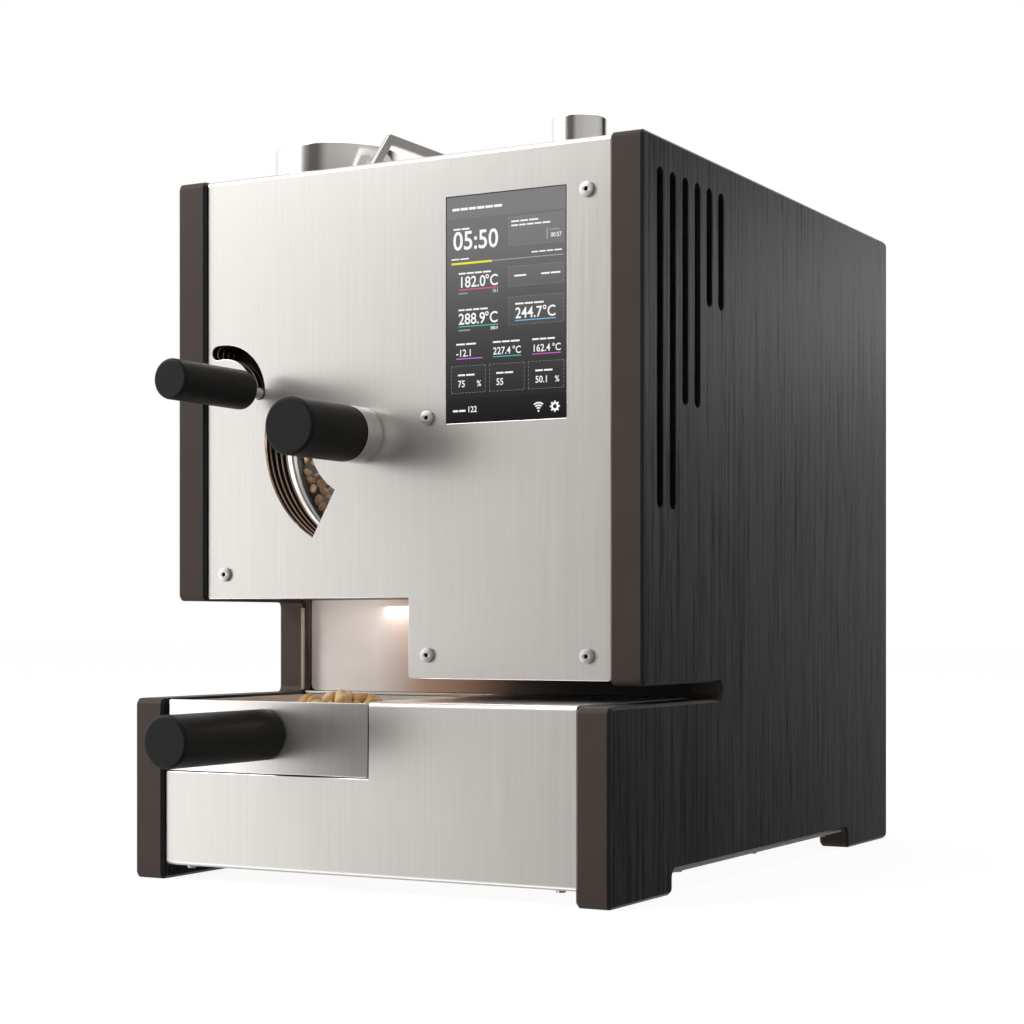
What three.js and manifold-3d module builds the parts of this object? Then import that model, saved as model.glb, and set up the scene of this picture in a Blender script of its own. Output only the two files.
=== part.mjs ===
// Countertop drum coffee roaster with a bean hopper, a cooling tray and a display.
// Millimetres, +Z up, front towards -Y. The lower front sheet's plane is kept near Y = 0 while building,
// and the finished machine is moved so that its origin is the middle of its footprint.
import * as THREE from 'three';
import { mergeVertices, mergeGeometries } from 'three/addons/utils/BufferGeometryUtils.js';
import Module from 'manifold-3d';

const wasm = await Module();
wasm.setup();

// Overall body
const bodyWidth = 330;
const bodyDepth = 466;
const upperHeight = 318.1;      // side plates of the upper section, above the gap on the right
const upperSetback = 43.3;      // the upper section's front stands behind the lower one's
const deckHeight = 112.2;       // top of the lower section's side plates
const slotHeight = 10.7;        // gap between the two sections on the right
const bayHeight = 60.9;         // taller gap on the left, above the cooling tray
const gapDepth = 156.4;         // how far back both gaps reach
const footLength = 84.3;
const footHeight = 13.8;

// Side plates
const plateThickness = 21.5;
const plateChamfer = 1.7;
const plateCornerRadius = 4.2;
const plateSkin = 4;
const plateRim = 13;
const ventWidth = 8.2;
const ventPitch = 17.8;
const ventFirstY = 66.5;
const ventTopDrop = 18.2;       // from the plate's top
const ventStep = 62.7;
const ventLongLength = 197.2;
const ventPairs = 3;
const ventsPerPair = 2;

// General fits
const gap = 0.3;
const overrun = 5;
const sheet = 2;
const thinSheet = 1.5;
const bendRadius = 3;
const panelRecess = 3;
const sheetSideGap = 0.3;
const sheetCornerRadius = 2;

// Upper front panel
const panelTopDrop = 0.5;
const panelTopFlange = 13.5;
const panelStepX = 6.8;
const panelLowerLift = 2.5;     // panel's lower edge above the plates' lower edge on the right
const panelStepLift = 1.2;      // and on the left

// Display
const displayWidth = 80.8;
const displayHeight = 135.2;
const displayX = 73.9;
const displayRise = 72.2;       // above the drum's axis
const displayModuleMargin = 2.2;
const displayModuleDepth = 8;
const boardThickness = 1.6;
const boardOffset = 3;
const boardMargin = 4;
const boardPost = 4;

// Round window and shields
const drumX = -28;
const drumRise = 161.8;         // above the lower section's plates
const windowInner = 37.5;
const windowOuter = 71;
const windowStartDegrees = 174;
const windowEndDegrees = 240.5;
const windowFrameBorder = 4;
const windowFrameDepth = 4.2;
const glassThickness = 2.8;
const shieldCount = 4;
const shieldFirstOffset = 5.7;  // panel's front face to first shield
const shieldPitch = 5.7;
const shieldThickness = 1.5;
const shieldRightX = 26;
const shieldTopRise = 89;       // rises and drops here are from the drum's axis
const shieldBottomDrop = 88;
const shieldChuteCutLeft = -102;
const shieldChuteCutRight = -56;
const shieldChuteCutRise = 16;
const shieldDoorCutLeft = -38;
const shieldDoorCutDrop = 37;

// Charge lever
const leverX = -130.6;
const leverRise = 30;           // above the drum's axis
const leverRadius = 27.2;
const leverSlotWidth = 8.9;
const leverTravelDegrees = 100;
const leverStemRadius = 4;
const leverHandleRadius = 12.3;
const leverHandleFront = -44.4;
const leverHandleBack = 28.1;
const leverStemSocket = 20;
const leverPinRadius = 5;
const gateThickness = 2;
const gateReach = 55;
const gateBladeRadius = 13;
const gateArmWidth = 16;
const gateGap = 0.6;

// Trier
const trierHandleRadius = 17.4;
const trierHandleLength = 59.1;
const trierCollarRadius = 17.3;
const trierCollarLength = 16.9;
const trierSleeveRadius = 13;
const trierTubeRadius = 10;
const trierReach = 145;
const trierScoopLength = 52;
const trierScoopWall = 2;
const trierSleeveLength = 27;
const trierSocket = 20;

// Handles' common edge
const handleEdge = 1.6;

// Drum
const drumRadius = 71;
const drumWall = 2;
const drumLength = 90;
const drumFrontGap = 2;
const drumBack = 3;
const drumHubRadius = 16;
const drumHubLength = 10;
const vaneCount = 5;
const vaneHeight = 16;
const vaneThickness = 2.5;
const shaftRadius = 6;
const shaftLength = 62;
const shaftClearance = 0.3;
const bearingRadius = 14;
const bearingLength = 9;
const couplingRadius = 12;
const couplingLength = 22;
const couplingOverlap = 12;
const couplingWeb = 0.6;
const frontPlateThickness = 3.2;
const frontPlateTopRise = 86;   // rises and drops from here on are from the drum's axis
const frontPlateBottomDrop = 87;
const frontPlateRightX = 60;
const frontPlateShoulderRise = 61;
const frontPlateShoulderX = -88;
const frontPlateCrownX = -60;
const chargePortRadius = 10.5;
const dischargeWidth = 32;
const dischargeHeight = 17;
const dischargeX = -14.5;
const dischargeDrop = 56;
const housingClearance = 6;
const housingWall = 2;
const housingLength = 108;
const neckX = -22;
const neckRadius = 16;
const neckWall = 1.5;
const rearWallThickness = 4;

// Drum motor
const motorRadius = 25;
const motorLength = 76;
const motorCanStep = 1.6;
const motorShaftRadius = 4;
const motorShaftLength = 16;
const bracketThickness = 3;
const bracketWidth = 74;
const bracketHeight = 50;
const bracketReach = 68;

// Heater
const heaterX = 20;
const heaterDrop = 39;          // below the drum's axis
const heaterRadius = 22;
const heaterLength = 112;
const heaterWall = 1.5;
const heaterCoreLength = 84;
const heaterBoreRadius = 5;
const heaterBores = 6;
const heaterBoreCircle = 12;
const heaterCoreInset = 14;

// Hopper and chute
const hopperX = -87.2;
const hopperY = 110.7;
const hopperRadius = 40.2;
const hopperWall = 1.5;
const hopperRise = 23;
const hopperStraight = 20;
const hopperConeHeight = 26;
const hopperLean = 22;
const chuteRadius = 12;
const chuteWall = 1.2;
const chuteBend = 13.2;
const chuteEaseShare = 0.55;
const chuteEasePoints = 7;

// Discharge door and chute
const doorThickness = 2;
const doorMargin = 2;
const doorPinRadius = 2;
const doorBarrelRadius = 3;
const doorDrop = 3.4;
const dischargeChuteDepth = 25;
const servoWidth = 12;
const servoDepth = 16;
const servoHeight = 27;
const servoRise = 4.7;

// Chaff box and its lid
const chaffLeft = -42;
const chaffRight = 44;
const chaffFront = 62;
const chaffBack = 188;
const chaffBoxRise = 90;        // above the drum's axis
const chaffFlange = 1.8;
const lidOverlap = 2;
const lidThickness = 2;
const lidLift = 0.4;
const lidHandleX = -29.3;
const lidHandleRise = 25;       // above the side plates
const lidHandleBand = 6.2;
const lidHandleThickness = 2.5;
const lidHandleLean = 20;
const lidHandleCorner = 5;
const lidHandleInset = 1;
const hingeRadius = 3;
const hingePinRadius = 1.5;
const hingeKnuckle = 24;
const hingeOffset = 5;
const hingeInset = 20;
const hingeLeaf = 9;

// Exhaust
const exhaustX = 96.2;
const exhaustY = 99;
const exhaustRadius = 16.9;
const exhaustWall = 1.5;
const exhaustRise = 23;         // above the side plates
const fanY = 130;
const fanRise = 24;             // above the chaff box's bottom
const fanCasingRadius = 42;
const fanCasingLeft = 76;
const fanCasingRight = 116;
const fanCasingRise = 45;       // above the fan's axis
const fanOutletMargin = 2;
const fanWall = 2;
const impellerRadius = 35;
const impellerBlades = 10;
const impellerBladeHeight = 13;
const impellerBladeThickness = 1.5;
const impellerHubRadius = 8;
const impellerDisc = 2;
const impellerInset = 4;
const fanInletRadius = 18;
const fanMotorRadius = 20;
const fanShaftRadius = 3;
const fanMotorSocket = 8;
const ductRadius = 20;

// Lower front panel and tray
const lowerPanelY = 3;
const lowerPanelBottom = 8.9;
const lowerPanelFlange = 15;
const lowerPanelTopLift = 0.5;
const traySideGap = 3;
const trayRight = 5.2;
const trayHeight = 43.9;
const trayTopDrop = 1;          // below the deck
const trayFaceGap = 0.7;
const trayDepth = 150;
const trayWall = 1.5;
const trayInset = 1;
const trayLedge = 12;
const trayHandleX = -67.7;
const trayHandleRise = 23.8;    // above the tray face's lower edge
const trayHandleRadius = 15.5;
const trayHandleLength = 98;
const screenRise = 26.2;        // above the tray face's lower edge
const screenThickness = 1.2;
const screenSlots = 9;
const screenSlotWidth = 5;
const screenMargin = 14;
const runnerThickness = 2.4;
const runnerWidth = 8;
const runnerFront = 7;

// Bay lining
const bayWallOffset = 7.6;
const bayWallThickness = 1.5;
const bayCornerRadius = 4;

// Cooling fan under the tray
const coolFanX = -67.7;
const coolFanY = 80;
const coolFanSize = 92;
const coolFanHeight = 25;
const coolFanBore = 43;
const coolFanHub = 15;
const coolFanHubHeight = 5;
const coolFanBlades = 7;
const coolFanBladeThickness = 2;
const coolFanBladeTilt = 40;
const coolFanTipGap = 2.5;
const coolFanStrut = 5;
const coolFanStruts = 3;
const coolFanAxleRadius = 2;

// Base, top and rear
const baseSideReach = 18.5;
const baseBottomZ = 11.9;
const baseSheet = 1.6;
const baseFront = 5.3;
const baseEnd = 4.8;
const rearRecess = 3.5;
const rearSlotWidth = 5;
const rearSlotLength = 120;
const rearSlots = 8;
const rearSlotPitch = 12;
const rearSlotX = -60;
const rearSlotRise = 56;        // above the drum's axis
const rearBottomZ = 15;
const intakeSlots = 7;
const intakeSlotPitch = 11;
const intakeSlotLength = 70;
const inletX = 96;
const inletZ = 62;
const inletWidth = 48;
const inletHeight = 27;
const inletDepth = 26;
const inletFlange = 3;
const inletFlangeThickness = 2;
const inletSocketWidth = 27;
const inletSocketHeight = 19;
const inletSocketDepth = 17;
const inletPinThickness = 2;
const inletPinHeight = 4;
const inletPinRise = 3;
const inletPinLength = 12;
const inletPinPitch = 7;
const inletSwitchRise = 24;
const inletSwitchMargin = 9;
const rockerTiltDegrees = 12;
const rockerWidth = 19;
const rockerHeight = 11;
const rockerDepth = 7;
const rockerClearance = 0.9;

// Power supply
const supplyX = 88;
const supplyInletGap = 11.5;
const supplyWidth = 98;
const supplyDepth = 130;
const supplyHeight = 42;

// Screws
const screwHeadRadius = 4.4;
const screwHeadHeight = 1.6;
const screwRadius = 2;
const screwLength = 5;
const screwHeadEdge = 0.5;
const screwHexRadius = 1.4;
const screwHexDepth = 1.1;
const screwSideInset = 15.1;
const screwStepInset = 13.6;
const screwLowInset = 16.7;
const screwTopInset = 30.6;
const screwDisplayDrop = 3.8;
const hexSides = 6;

// Smoothness of round work
const fineSteps = 40;
const coarseSteps = 20;
const smallSteps = 12;
const boreSteps = 8;
const discSteps = 10;
const arcSteps = 6;
const cornerSteps = 3;
const chuteRings = 14;
const chuteSides = 7;

// Places that several pieces share
const halfWidth = bodyWidth / 2;
const innerX = halfWidth - plateThickness;
const sheetX = innerX - sheetSideGap;
const slotTop = deckHeight + slotHeight;
const bayTop = deckHeight + bayHeight;
const bodyHeight = slotTop + upperHeight;
const ventTop = bodyHeight - ventTopDrop;
const drumZ = deckHeight + drumRise;
const leverZ = drumZ + leverRise;
const displayZ = drumZ + displayRise;
const dischargeZ = drumZ - dischargeDrop;
const heaterZ = drumZ - heaterDrop;
const chaffBottomZ = drumZ + chaffBoxRise;
const fanZ = chaffBottomZ + fanRise;
const fanCasingTop = fanZ + fanCasingRise;
const panelY = upperSetback + panelRecess;
const panelBack = panelY + sheet;
const panelTop = bodyHeight - panelTopDrop;
const coverBottom = panelTop - sheet;
const deckTop = deckHeight + lowerPanelTopLift;
const trayLeft = traySideGap - innerX;
const trayTop = deckTop - trayTopDrop;
const trayBottom = trayTop - trayHeight;
const bayWallY = gapDepth + bayWallOffset;
const shieldBack = panelY + shieldFirstOffset + (shieldCount - 1) * shieldPitch + shieldThickness;
const frameY = shieldBack + gap;
const glassY = frameY + windowFrameDepth + gap;
const frontPlateY = glassY + glassThickness + gap;
const frontPlateBack = frontPlateY + frontPlateThickness;
const drumFront = frontPlateBack + drumFrontGap;
const drumEnd = drumFront + drumLength;
const housingInner = drumRadius + drumWall + housingClearance;
const housingOuter = housingInner + housingWall;
const housingFront = frontPlateBack + gap;
const housingEnd = housingFront + housingLength;
const rearWallBack = housingEnd + rearWallThickness;
const shaftEnd = drumEnd + shaftLength;
const gateY = frontPlateY - gateGap - gateThickness;
const doorBack = frontPlateY - gap;
const doorHingeY = doorBack - doorBarrelRadius;
const doorHingeZ = dischargeZ + dischargeHeight / 2 + doorMargin + doorBarrelRadius;
const hopperTop = bodyHeight + hopperRise;
const lidHandleTop = bodyHeight + lidHandleRise;
const baseTop = baseBottomZ + baseSheet;
const inletBottom = inletZ - inletHeight / 2;
const switchZ = inletZ + inletSwitchRise;
const inletTop = switchZ + inletSwitchMargin;
const inletFront = bodyDepth - rearRecess - inletDepth;
const footprintMiddle = (bodyDepth + lowerPanelY - gap - trayHandleLength) / 2;

// Materials
const surface = (color, roughness, metalness) =>
  new THREE.MeshStandardMaterial({ color, roughness, metalness });
const brushedSteel = surface(0xd8d6d2, 0.35, 1);
const brightSteel = surface(0xe6e4e0, 0.2, 1);
const blackPlate = surface(0x2b2826, 0.5, 0.6);
const matteBlack = surface(0x1d1d1d, 0.75, 0);
const shieldBlack = surface(0x141210, 0.7, 0.4);
const castMetal = surface(0x9c9790, 0.55, 0.8);
const drumMetal = surface(0x55504b, 0.5, 0.8);
const clearGlass = surface(0xaeb6bb, 0.05, 0);
const screenGlass = surface(0x30343a, 0.15, 0);
const boardGreen = surface(0x1f5a3c, 0.6, 0);
const wireMetal = surface(0xb9b7b2, 0.3, 1);
const ceramicWhite = surface(0xd9d2c4, 0.8, 0);

const machine = new THREE.Group();
machine.position.set(0, -footprintMiddle, 0);
const roaster = new THREE.Group();
roaster.add(machine);

// Solids

function weld(geometry) {
  const bare = geometry.clone();
  bare.deleteAttribute('normal');
  bare.deleteAttribute('uv');
  return mergeVertices(bare);
}

function signedVolume(points, corners) {
  let total = 0;
  const [a, b, c] = [new THREE.Vector3(), new THREE.Vector3(), new THREE.Vector3()];
  for (let i = 0; i < corners.length; i += 3) {
    a.fromArray(points, corners[i] * 3);
    b.fromArray(points, corners[i + 1] * 3);
    c.fromArray(points, corners[i + 2] * 3);
    total += a.dot(b.cross(c));
  }
  return total;
}

function solid(geometry) {
  const welded = weld(geometry);
  const points = welded.getAttribute('position').array;
  const corners = Uint32Array.from(welded.index.array);
  if (signedVolume(points, corners) < 0) corners.reverse();
  return new wasm.Manifold(new wasm.Mesh({ numProp: 3, vertProperties: points, triVerts: corners }));
}

const join = (first, ...others) => others.reduce((whole, other) => whole.add(other), first);
const cut = (first, ...tools) => tools.reduce((whole, tool) => whole.subtract(tool), first);

function place(name, shape, material) {
  const mesh = shape.getMesh();
  const geometry = new THREE.BufferGeometry();
  geometry.setAttribute('position', new THREE.BufferAttribute(mesh.vertProperties, mesh.numProp));
  geometry.setIndex(new THREE.BufferAttribute(mesh.triVerts, 1));
  geometry.computeVertexNormals();
  const piece = new THREE.Mesh(geometry, material);
  piece.name = name;
  machine.add(piece);
}

// Outlines

const radians = (degrees) => THREE.MathUtils.degToRad(degrees);

// A closed outline through the given corners, each rounded by the same radius
function outline(corners, radius = 0) {
  const shape = new THREE.Shape();
  const count = corners.length;
  corners.forEach((corner, i) => {
    const here = new THREE.Vector2(...corner);
    const before = new THREE.Vector2(...corners[(i + count - 1) % count]).sub(here);
    const after = new THREE.Vector2(...corners[(i + 1) % count]).sub(here);
    const reach = Math.min(radius, before.length() / 2, after.length() / 2);
    const start = here.clone().addScaledVector(before.normalize(), reach);
    const end = here.clone().addScaledVector(after.normalize(), reach);
    if (i === 0) shape.moveTo(start.x, start.y);
    else shape.lineTo(start.x, start.y);
    if (reach > 0) shape.quadraticCurveTo(here.x, here.y, end.x, end.y);
  });
  return shape;
}

const rectangle = (left, bottom, right, top, radius = 0) =>
  outline([[left, bottom], [right, bottom], [right, top], [left, top]], radius);

function disc(x, y, radius) {
  const shape = new THREE.Shape();
  shape.absarc(x, y, radius, 0, Math.PI * 2);
  return shape;
}

// Part of a ring between two angles
function sector(x, y, inner, outer, startDegrees, endDegrees) {
  const shape = new THREE.Shape();
  shape.absarc(x, y, outer, radians(startDegrees), radians(endDegrees), false);
  shape.absarc(x, y, inner, radians(endDegrees), radians(startDegrees), true);
  shape.closePath();
  return shape;
}

// A curved slot with round ends
function arcSlot(x, y, radius, width, startDegrees, endDegrees) {
  const half = width / 2;
  const [start, end] = [radians(startDegrees), radians(endDegrees)];
  const shape = new THREE.Shape();
  shape.absarc(x, y, radius + half, start, end, false);
  shape.absarc(
    x + radius * Math.cos(end), y + radius * Math.sin(end), half, end, end + Math.PI, false);
  shape.absarc(x, y, radius - half, end, start, true);
  shape.absarc(
    x + radius * Math.cos(start), y + radius * Math.sin(start), half, start + Math.PI, start, false);
  return shape;
}

const stadium = (x, bottom, top, width) => rectangle(x - width / 2, bottom, x + width / 2, top, width / 2);

// Extrusions along each axis: an XY outline rises along Z, an XZ outline runs along Y, a YZ outline along X

function extrude(shape, depth, steps = cornerSteps) {
  return new THREE.ExtrudeGeometry(shape, { depth, bevelEnabled: false, curveSegments: steps });
}

function alongZ(shape, from, to, steps) {
  const geometry = extrude(shape, to - from, steps);
  geometry.translate(0, 0, from);
  return solid(geometry);
}

function alongY(shape, from, to, steps) {
  const geometry = extrude(shape, to - from, steps);
  geometry.rotateX(Math.PI / 2);
  geometry.translate(0, to, 0);
  return solid(geometry);
}

// A cutter that runs past both faces
const throughY = (shape, from, to, steps) => alongY(shape, from - overrun, to + overrun, steps);

const yzPlane = new THREE.Matrix4().makeBasis(
  new THREE.Vector3(0, 1, 0), new THREE.Vector3(0, 0, 1), new THREE.Vector3(1, 0, 0));

function alongX(shape, from, to, steps) {
  const geometry = extrude(shape, to - from, steps);
  geometry.applyMatrix4(yzPlane);
  geometry.translate(from, 0, 0);
  return solid(geometry);
}

// An outline whose edges are chamfered on both faces
function chamferedAlongX(shape, from, to, chamfer, steps = cornerSteps) {
  const geometry = new THREE.ExtrudeGeometry(shape, {
    depth: to - from - 2 * chamfer, bevelThickness: chamfer, bevelSize: chamfer, bevelOffset: -chamfer,
    bevelSegments: 1, curveSegments: steps });
  geometry.applyMatrix4(yzPlane);
  geometry.translate(from + chamfer, 0, 0);
  return solid(geometry);
}

function block(left, right, front, back, bottom, top) {
  const geometry = new THREE.BoxGeometry(right - left, back - front, top - bottom);
  geometry.translate((left + right) / 2, (front + back) / 2, (bottom + top) / 2);
  return solid(geometry);
}

// A turned piece: the profile is a list of [radius, height] that starts and ends on the axis or closes
function turned(profile, steps = coarseSteps) {
  return new THREE.LatheGeometry(profile.map(([r, h]) => new THREE.Vector2(r, h)), steps);
}

function turnedY(profile, x, z, steps) {
  const geometry = turned(profile, steps);
  geometry.translate(x, 0, z);
  return solid(geometry);
}

function turnedZ(profile, x, y, steps) {
  const geometry = turned(profile, steps);
  geometry.rotateX(Math.PI / 2);
  geometry.translate(x, y, 0);
  return solid(geometry);
}

function turnedX(profile, y, z, steps) {
  const geometry = turned(profile, steps);
  geometry.rotateZ(-Math.PI / 2);
  geometry.translate(0, y, z);
  return solid(geometry);
}

const rod = (radius, from, to) => [[0, from], [radius, from], [radius, to], [0, to]];
const ring = (inner, outer, from, to) => [
  [inner, from], [outer, from], [outer, to], [inner, to], [inner, from]];
const knob = (radius, from, to, edge) => [
  [0, from], [radius - edge, from], [radius, from + edge], [radius, to - edge], [radius - edge, to], [0, to]];

// The same solid repeated round an axis that runs along Y, Z or X
function spun(shape, axis, centre, angle) {
  const turn = new THREE.Matrix4().makeRotationAxis(axis, angle);
  const move = new THREE.Matrix4().makeTranslation(centre.x, centre.y, centre.z);
  const back = new THREE.Matrix4().makeTranslation(-centre.x, -centre.y, -centre.z);
  return shape.transform(move.multiply(turn).multiply(back).elements);
}

const axisX = new THREE.Vector3(1, 0, 0);
const axisY = new THREE.Vector3(0, 1, 0);
const axisZ = new THREE.Vector3(0, 0, 1);

// Side plates: thick black plates with two feet, a gap between the sections and a lightened inside

function sidePlateOutline(gapTop) {
  return outline([
    [0, 0], [footLength, 0], [footLength, footHeight], [bodyDepth - footLength, footHeight],
    [bodyDepth - footLength, 0], [bodyDepth, 0], [bodyDepth, bodyHeight], [upperSetback, bodyHeight],
    [upperSetback, gapTop], [gapDepth, gapTop], [gapDepth, deckHeight], [0, deckHeight]], plateCornerRadius);
}

function ventOutlines() {
  const vents = [];
  for (let pair = 0; pair < ventPairs; pair += 1) {
    for (let i = 0; i < ventsPerPair; i += 1) {
      const y = ventFirstY + (pair * ventsPerPair + i) * ventPitch;
      vents.push(stadium(y, ventTop - ventLongLength + pair * ventStep, ventTop, ventWidth));
    }
  }
  return vents;
}

// The hollow behind the plate's skin, one above the gap, one below it and one behind both
function platePocket(gapTop, from, to) {
  const rear = bodyDepth - plateRim;
  const top = bodyHeight - plateRim;
  const lowest = footHeight + plateRim;
  const pocket = outline([
    [plateRim, lowest], [rear, lowest], [rear, top], [upperSetback + plateRim, top],
    [upperSetback + plateRim, gapTop + plateRim], [gapDepth + plateRim, gapTop + plateRim],
    [gapDepth + plateRim, deckHeight - plateRim], [plateRim, deckHeight - plateRim]], plateCornerRadius);
  return alongX(pocket, from, to);
}

function addSidePlates() {
  const right = cut(
    chamferedAlongX(sidePlateOutline(slotTop), innerX, halfWidth, plateChamfer),
    platePocket(slotTop, innerX - overrun, halfWidth - plateSkin),
    ...ventOutlines().map((vent) => alongX(vent, innerX, halfWidth + overrun)));
  const left = cut(
    chamferedAlongX(sidePlateOutline(bayTop), -halfWidth, -innerX, plateChamfer),
    platePocket(bayTop, -halfWidth + plateSkin, -innerX + overrun));
  place('right_side_plate', right, blackPlate);
  place('left_side_plate', left, blackPlate);
}

// Upper front panel: one steel sheet with a stepped lower edge, folded back along its top

function screwPlaces() {
  const right = sheetX - screwSideInset;
  const middle = panelStepX + screwStepInset;
  const lowest = slotTop + screwLowInset;
  return [
    [right, panelTop - screwTopInset],
    [middle, displayZ - displayHeight / 2 + screwDisplayDrop],
    [-sheetX + screwStepInset, bayTop + screwLowInset],
    [middle, lowest],
    [right, lowest]];
}

const leverSlot = () => arcSlot(leverX, leverZ, leverRadius, leverSlotWidth, 0, leverTravelDegrees);
const windowSector = (border = 0) => {
  const turn = THREE.MathUtils.radToDeg(border / windowOuter);
  return sector(drumX, drumZ, windowInner - border, windowOuter + border,
    windowStartDegrees - turn, windowEndDegrees + turn);
};

function addUpperFrontPanel() {
  const lowerRight = slotTop + panelLowerLift;
  const lowerLeft = bayTop + panelStepLift;
  const face = alongY(outline([
    [panelStepX, lowerRight], [sheetX, lowerRight], [sheetX, panelTop - bendRadius],
    [-sheetX, panelTop - bendRadius], [-sheetX, lowerLeft], [panelStepX, lowerLeft]]), panelY, panelBack);
  const fold = alongX(foldProfile(), -sheetX, sheetX, cornerSteps);
  const halfHole = displayWidth / 2 + gap;
  const halfHoleHeight = displayHeight / 2 + gap;
  const panel = cut(
    join(face, fold),
    throughY(leverSlot(), panelY, panelBack, arcSteps),
    throughY(windowSector(), panelY, panelBack, arcSteps),
    throughY(disc(drumX, drumZ, trierSleeveRadius + gap), panelY, panelBack, discSteps),
    throughY(rectangle(
      displayX - halfHole, displayZ - halfHoleHeight,
      displayX + halfHole, displayZ + halfHoleHeight), panelY, panelBack),
    ...screwPlaces().map(([x, z]) =>
      throughY(disc(x, z, screwRadius + gap), panelY, panelBack, arcSteps)));
  place('upper_front_panel', panel, brushedSteel);
}

// The bend and the flange along the top of the front panel, as a YZ outline
function foldProfile() {
  const shape = new THREE.Shape();
  const bendZ = panelTop - bendRadius;
  shape.moveTo(panelY, bendZ - overrun);
  shape.lineTo(panelY, bendZ);
  shape.absarc(panelY + bendRadius, bendZ, bendRadius, Math.PI, Math.PI / 2, true);
  shape.lineTo(panelY + panelTopFlange, panelTop);
  shape.lineTo(panelY + panelTopFlange, panelTop - sheet);
  shape.absarc(panelY + bendRadius, bendZ, bendRadius - sheet, Math.PI / 2, Math.PI, false);
  shape.lineTo(panelBack, bendZ - overrun);
  shape.closePath();
  return shape;
}

// Screws in the front panel

function screwSolid(x, z) {
  const headBack = panelY - gap;
  const headFront = headBack - screwHeadHeight;
  const socket = rod(screwHexRadius, headFront - overrun, headFront + screwHexDepth);
  const body = turnedY([
    [0, headFront], [screwHeadRadius - screwHeadEdge, headFront],
    [screwHeadRadius, headFront + screwHeadEdge], [screwHeadRadius, headBack],
    [screwRadius, headBack], [screwRadius, headBack + screwLength],
    [0, headBack + screwLength]], x, z, smallSteps);
  return cut(body, turnedY(socket, x, z, hexSides));
}

function addPanelScrews() {
  screwPlaces().forEach(([x, z], i) => place(`panel_screw_${i + 1}`, screwSolid(x, z), wireMetal));
}

// Display, its module and the control board behind it

function addDisplay() {
  const [left, right] = [displayX - displayWidth / 2, displayX + displayWidth / 2];
  const [bottom, top] = [displayZ - displayHeight / 2, displayZ + displayHeight / 2];
  const moduleFront = panelBack + gap;
  const moduleBack = moduleFront + displayModuleDepth;
  const margin = displayModuleMargin;
  const module = block(left - margin, right + margin, moduleFront, moduleBack, bottom - margin, top + margin);
  place('display', join(block(left, right, panelY, moduleBack, bottom, top), module), screenGlass);
  const boardFront = moduleBack + boardOffset;
  const board = block(left - boardMargin, right + boardMargin, boardFront, boardFront + boardThickness,
    bottom - boardMargin, top + boardMargin);
  const post = rod(boardPost / 2, moduleBack + gap, boardFront + boardThickness / 2);
  const posts = [left + boardPost, right - boardPost].flatMap((x) =>
    [bottom + boardPost, top - boardPost].map((z) => turnedY(post, x, z, smallSteps)));
  place('control_board', join(board, ...posts), boardGreen);
}

// Heat shields behind the front panel, each with the same cut-outs as the panel

function addHeatShields() {
  const [top, bottom] = [drumZ + shieldTopRise, drumZ - shieldBottomDrop];
  const chuteCut = drumZ + shieldChuteCutRise;
  const doorCut = drumZ - shieldDoorCutDrop;
  for (let i = 0; i < shieldCount; i += 1) {
    const front = panelY + shieldFirstOffset + i * shieldPitch;
    const back = front + shieldThickness;
    const plate = alongY(outline([
      [-sheetX, bottom], [shieldDoorCutLeft, bottom], [shieldDoorCutLeft, doorCut],
      [shieldRightX, doorCut], [shieldRightX, top], [shieldChuteCutRight, top],
      [shieldChuteCutRight, chuteCut], [shieldChuteCutLeft, chuteCut],
      [shieldChuteCutLeft, top], [-sheetX, top]], sheetCornerRadius), front, back);
    place(`heat_shield_${i + 1}`, cut(
      plate,
      throughY(leverSlot(), front, back, arcSteps),
      throughY(windowSector(), front, back, arcSteps),
      throughY(disc(drumX, drumZ, trierSleeveRadius + gap), front, back, discSteps)), shieldBlack);
  }
}

// Window: a bright frame, the glass and the plate that closes the front of the drum

function addWindow() {
  const whole = windowSector(windowFrameBorder);
  const frame = cut(
    alongY(whole, frameY, frameY + windowFrameDepth, arcSteps),
    throughY(windowSector(), frameY, frameY + windowFrameDepth, arcSteps));
  place('window_frame', frame, brightSteel);
  place('window_glass', alongY(whole, glassY, glassY + glassThickness, arcSteps), clearGlass);
}

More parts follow.
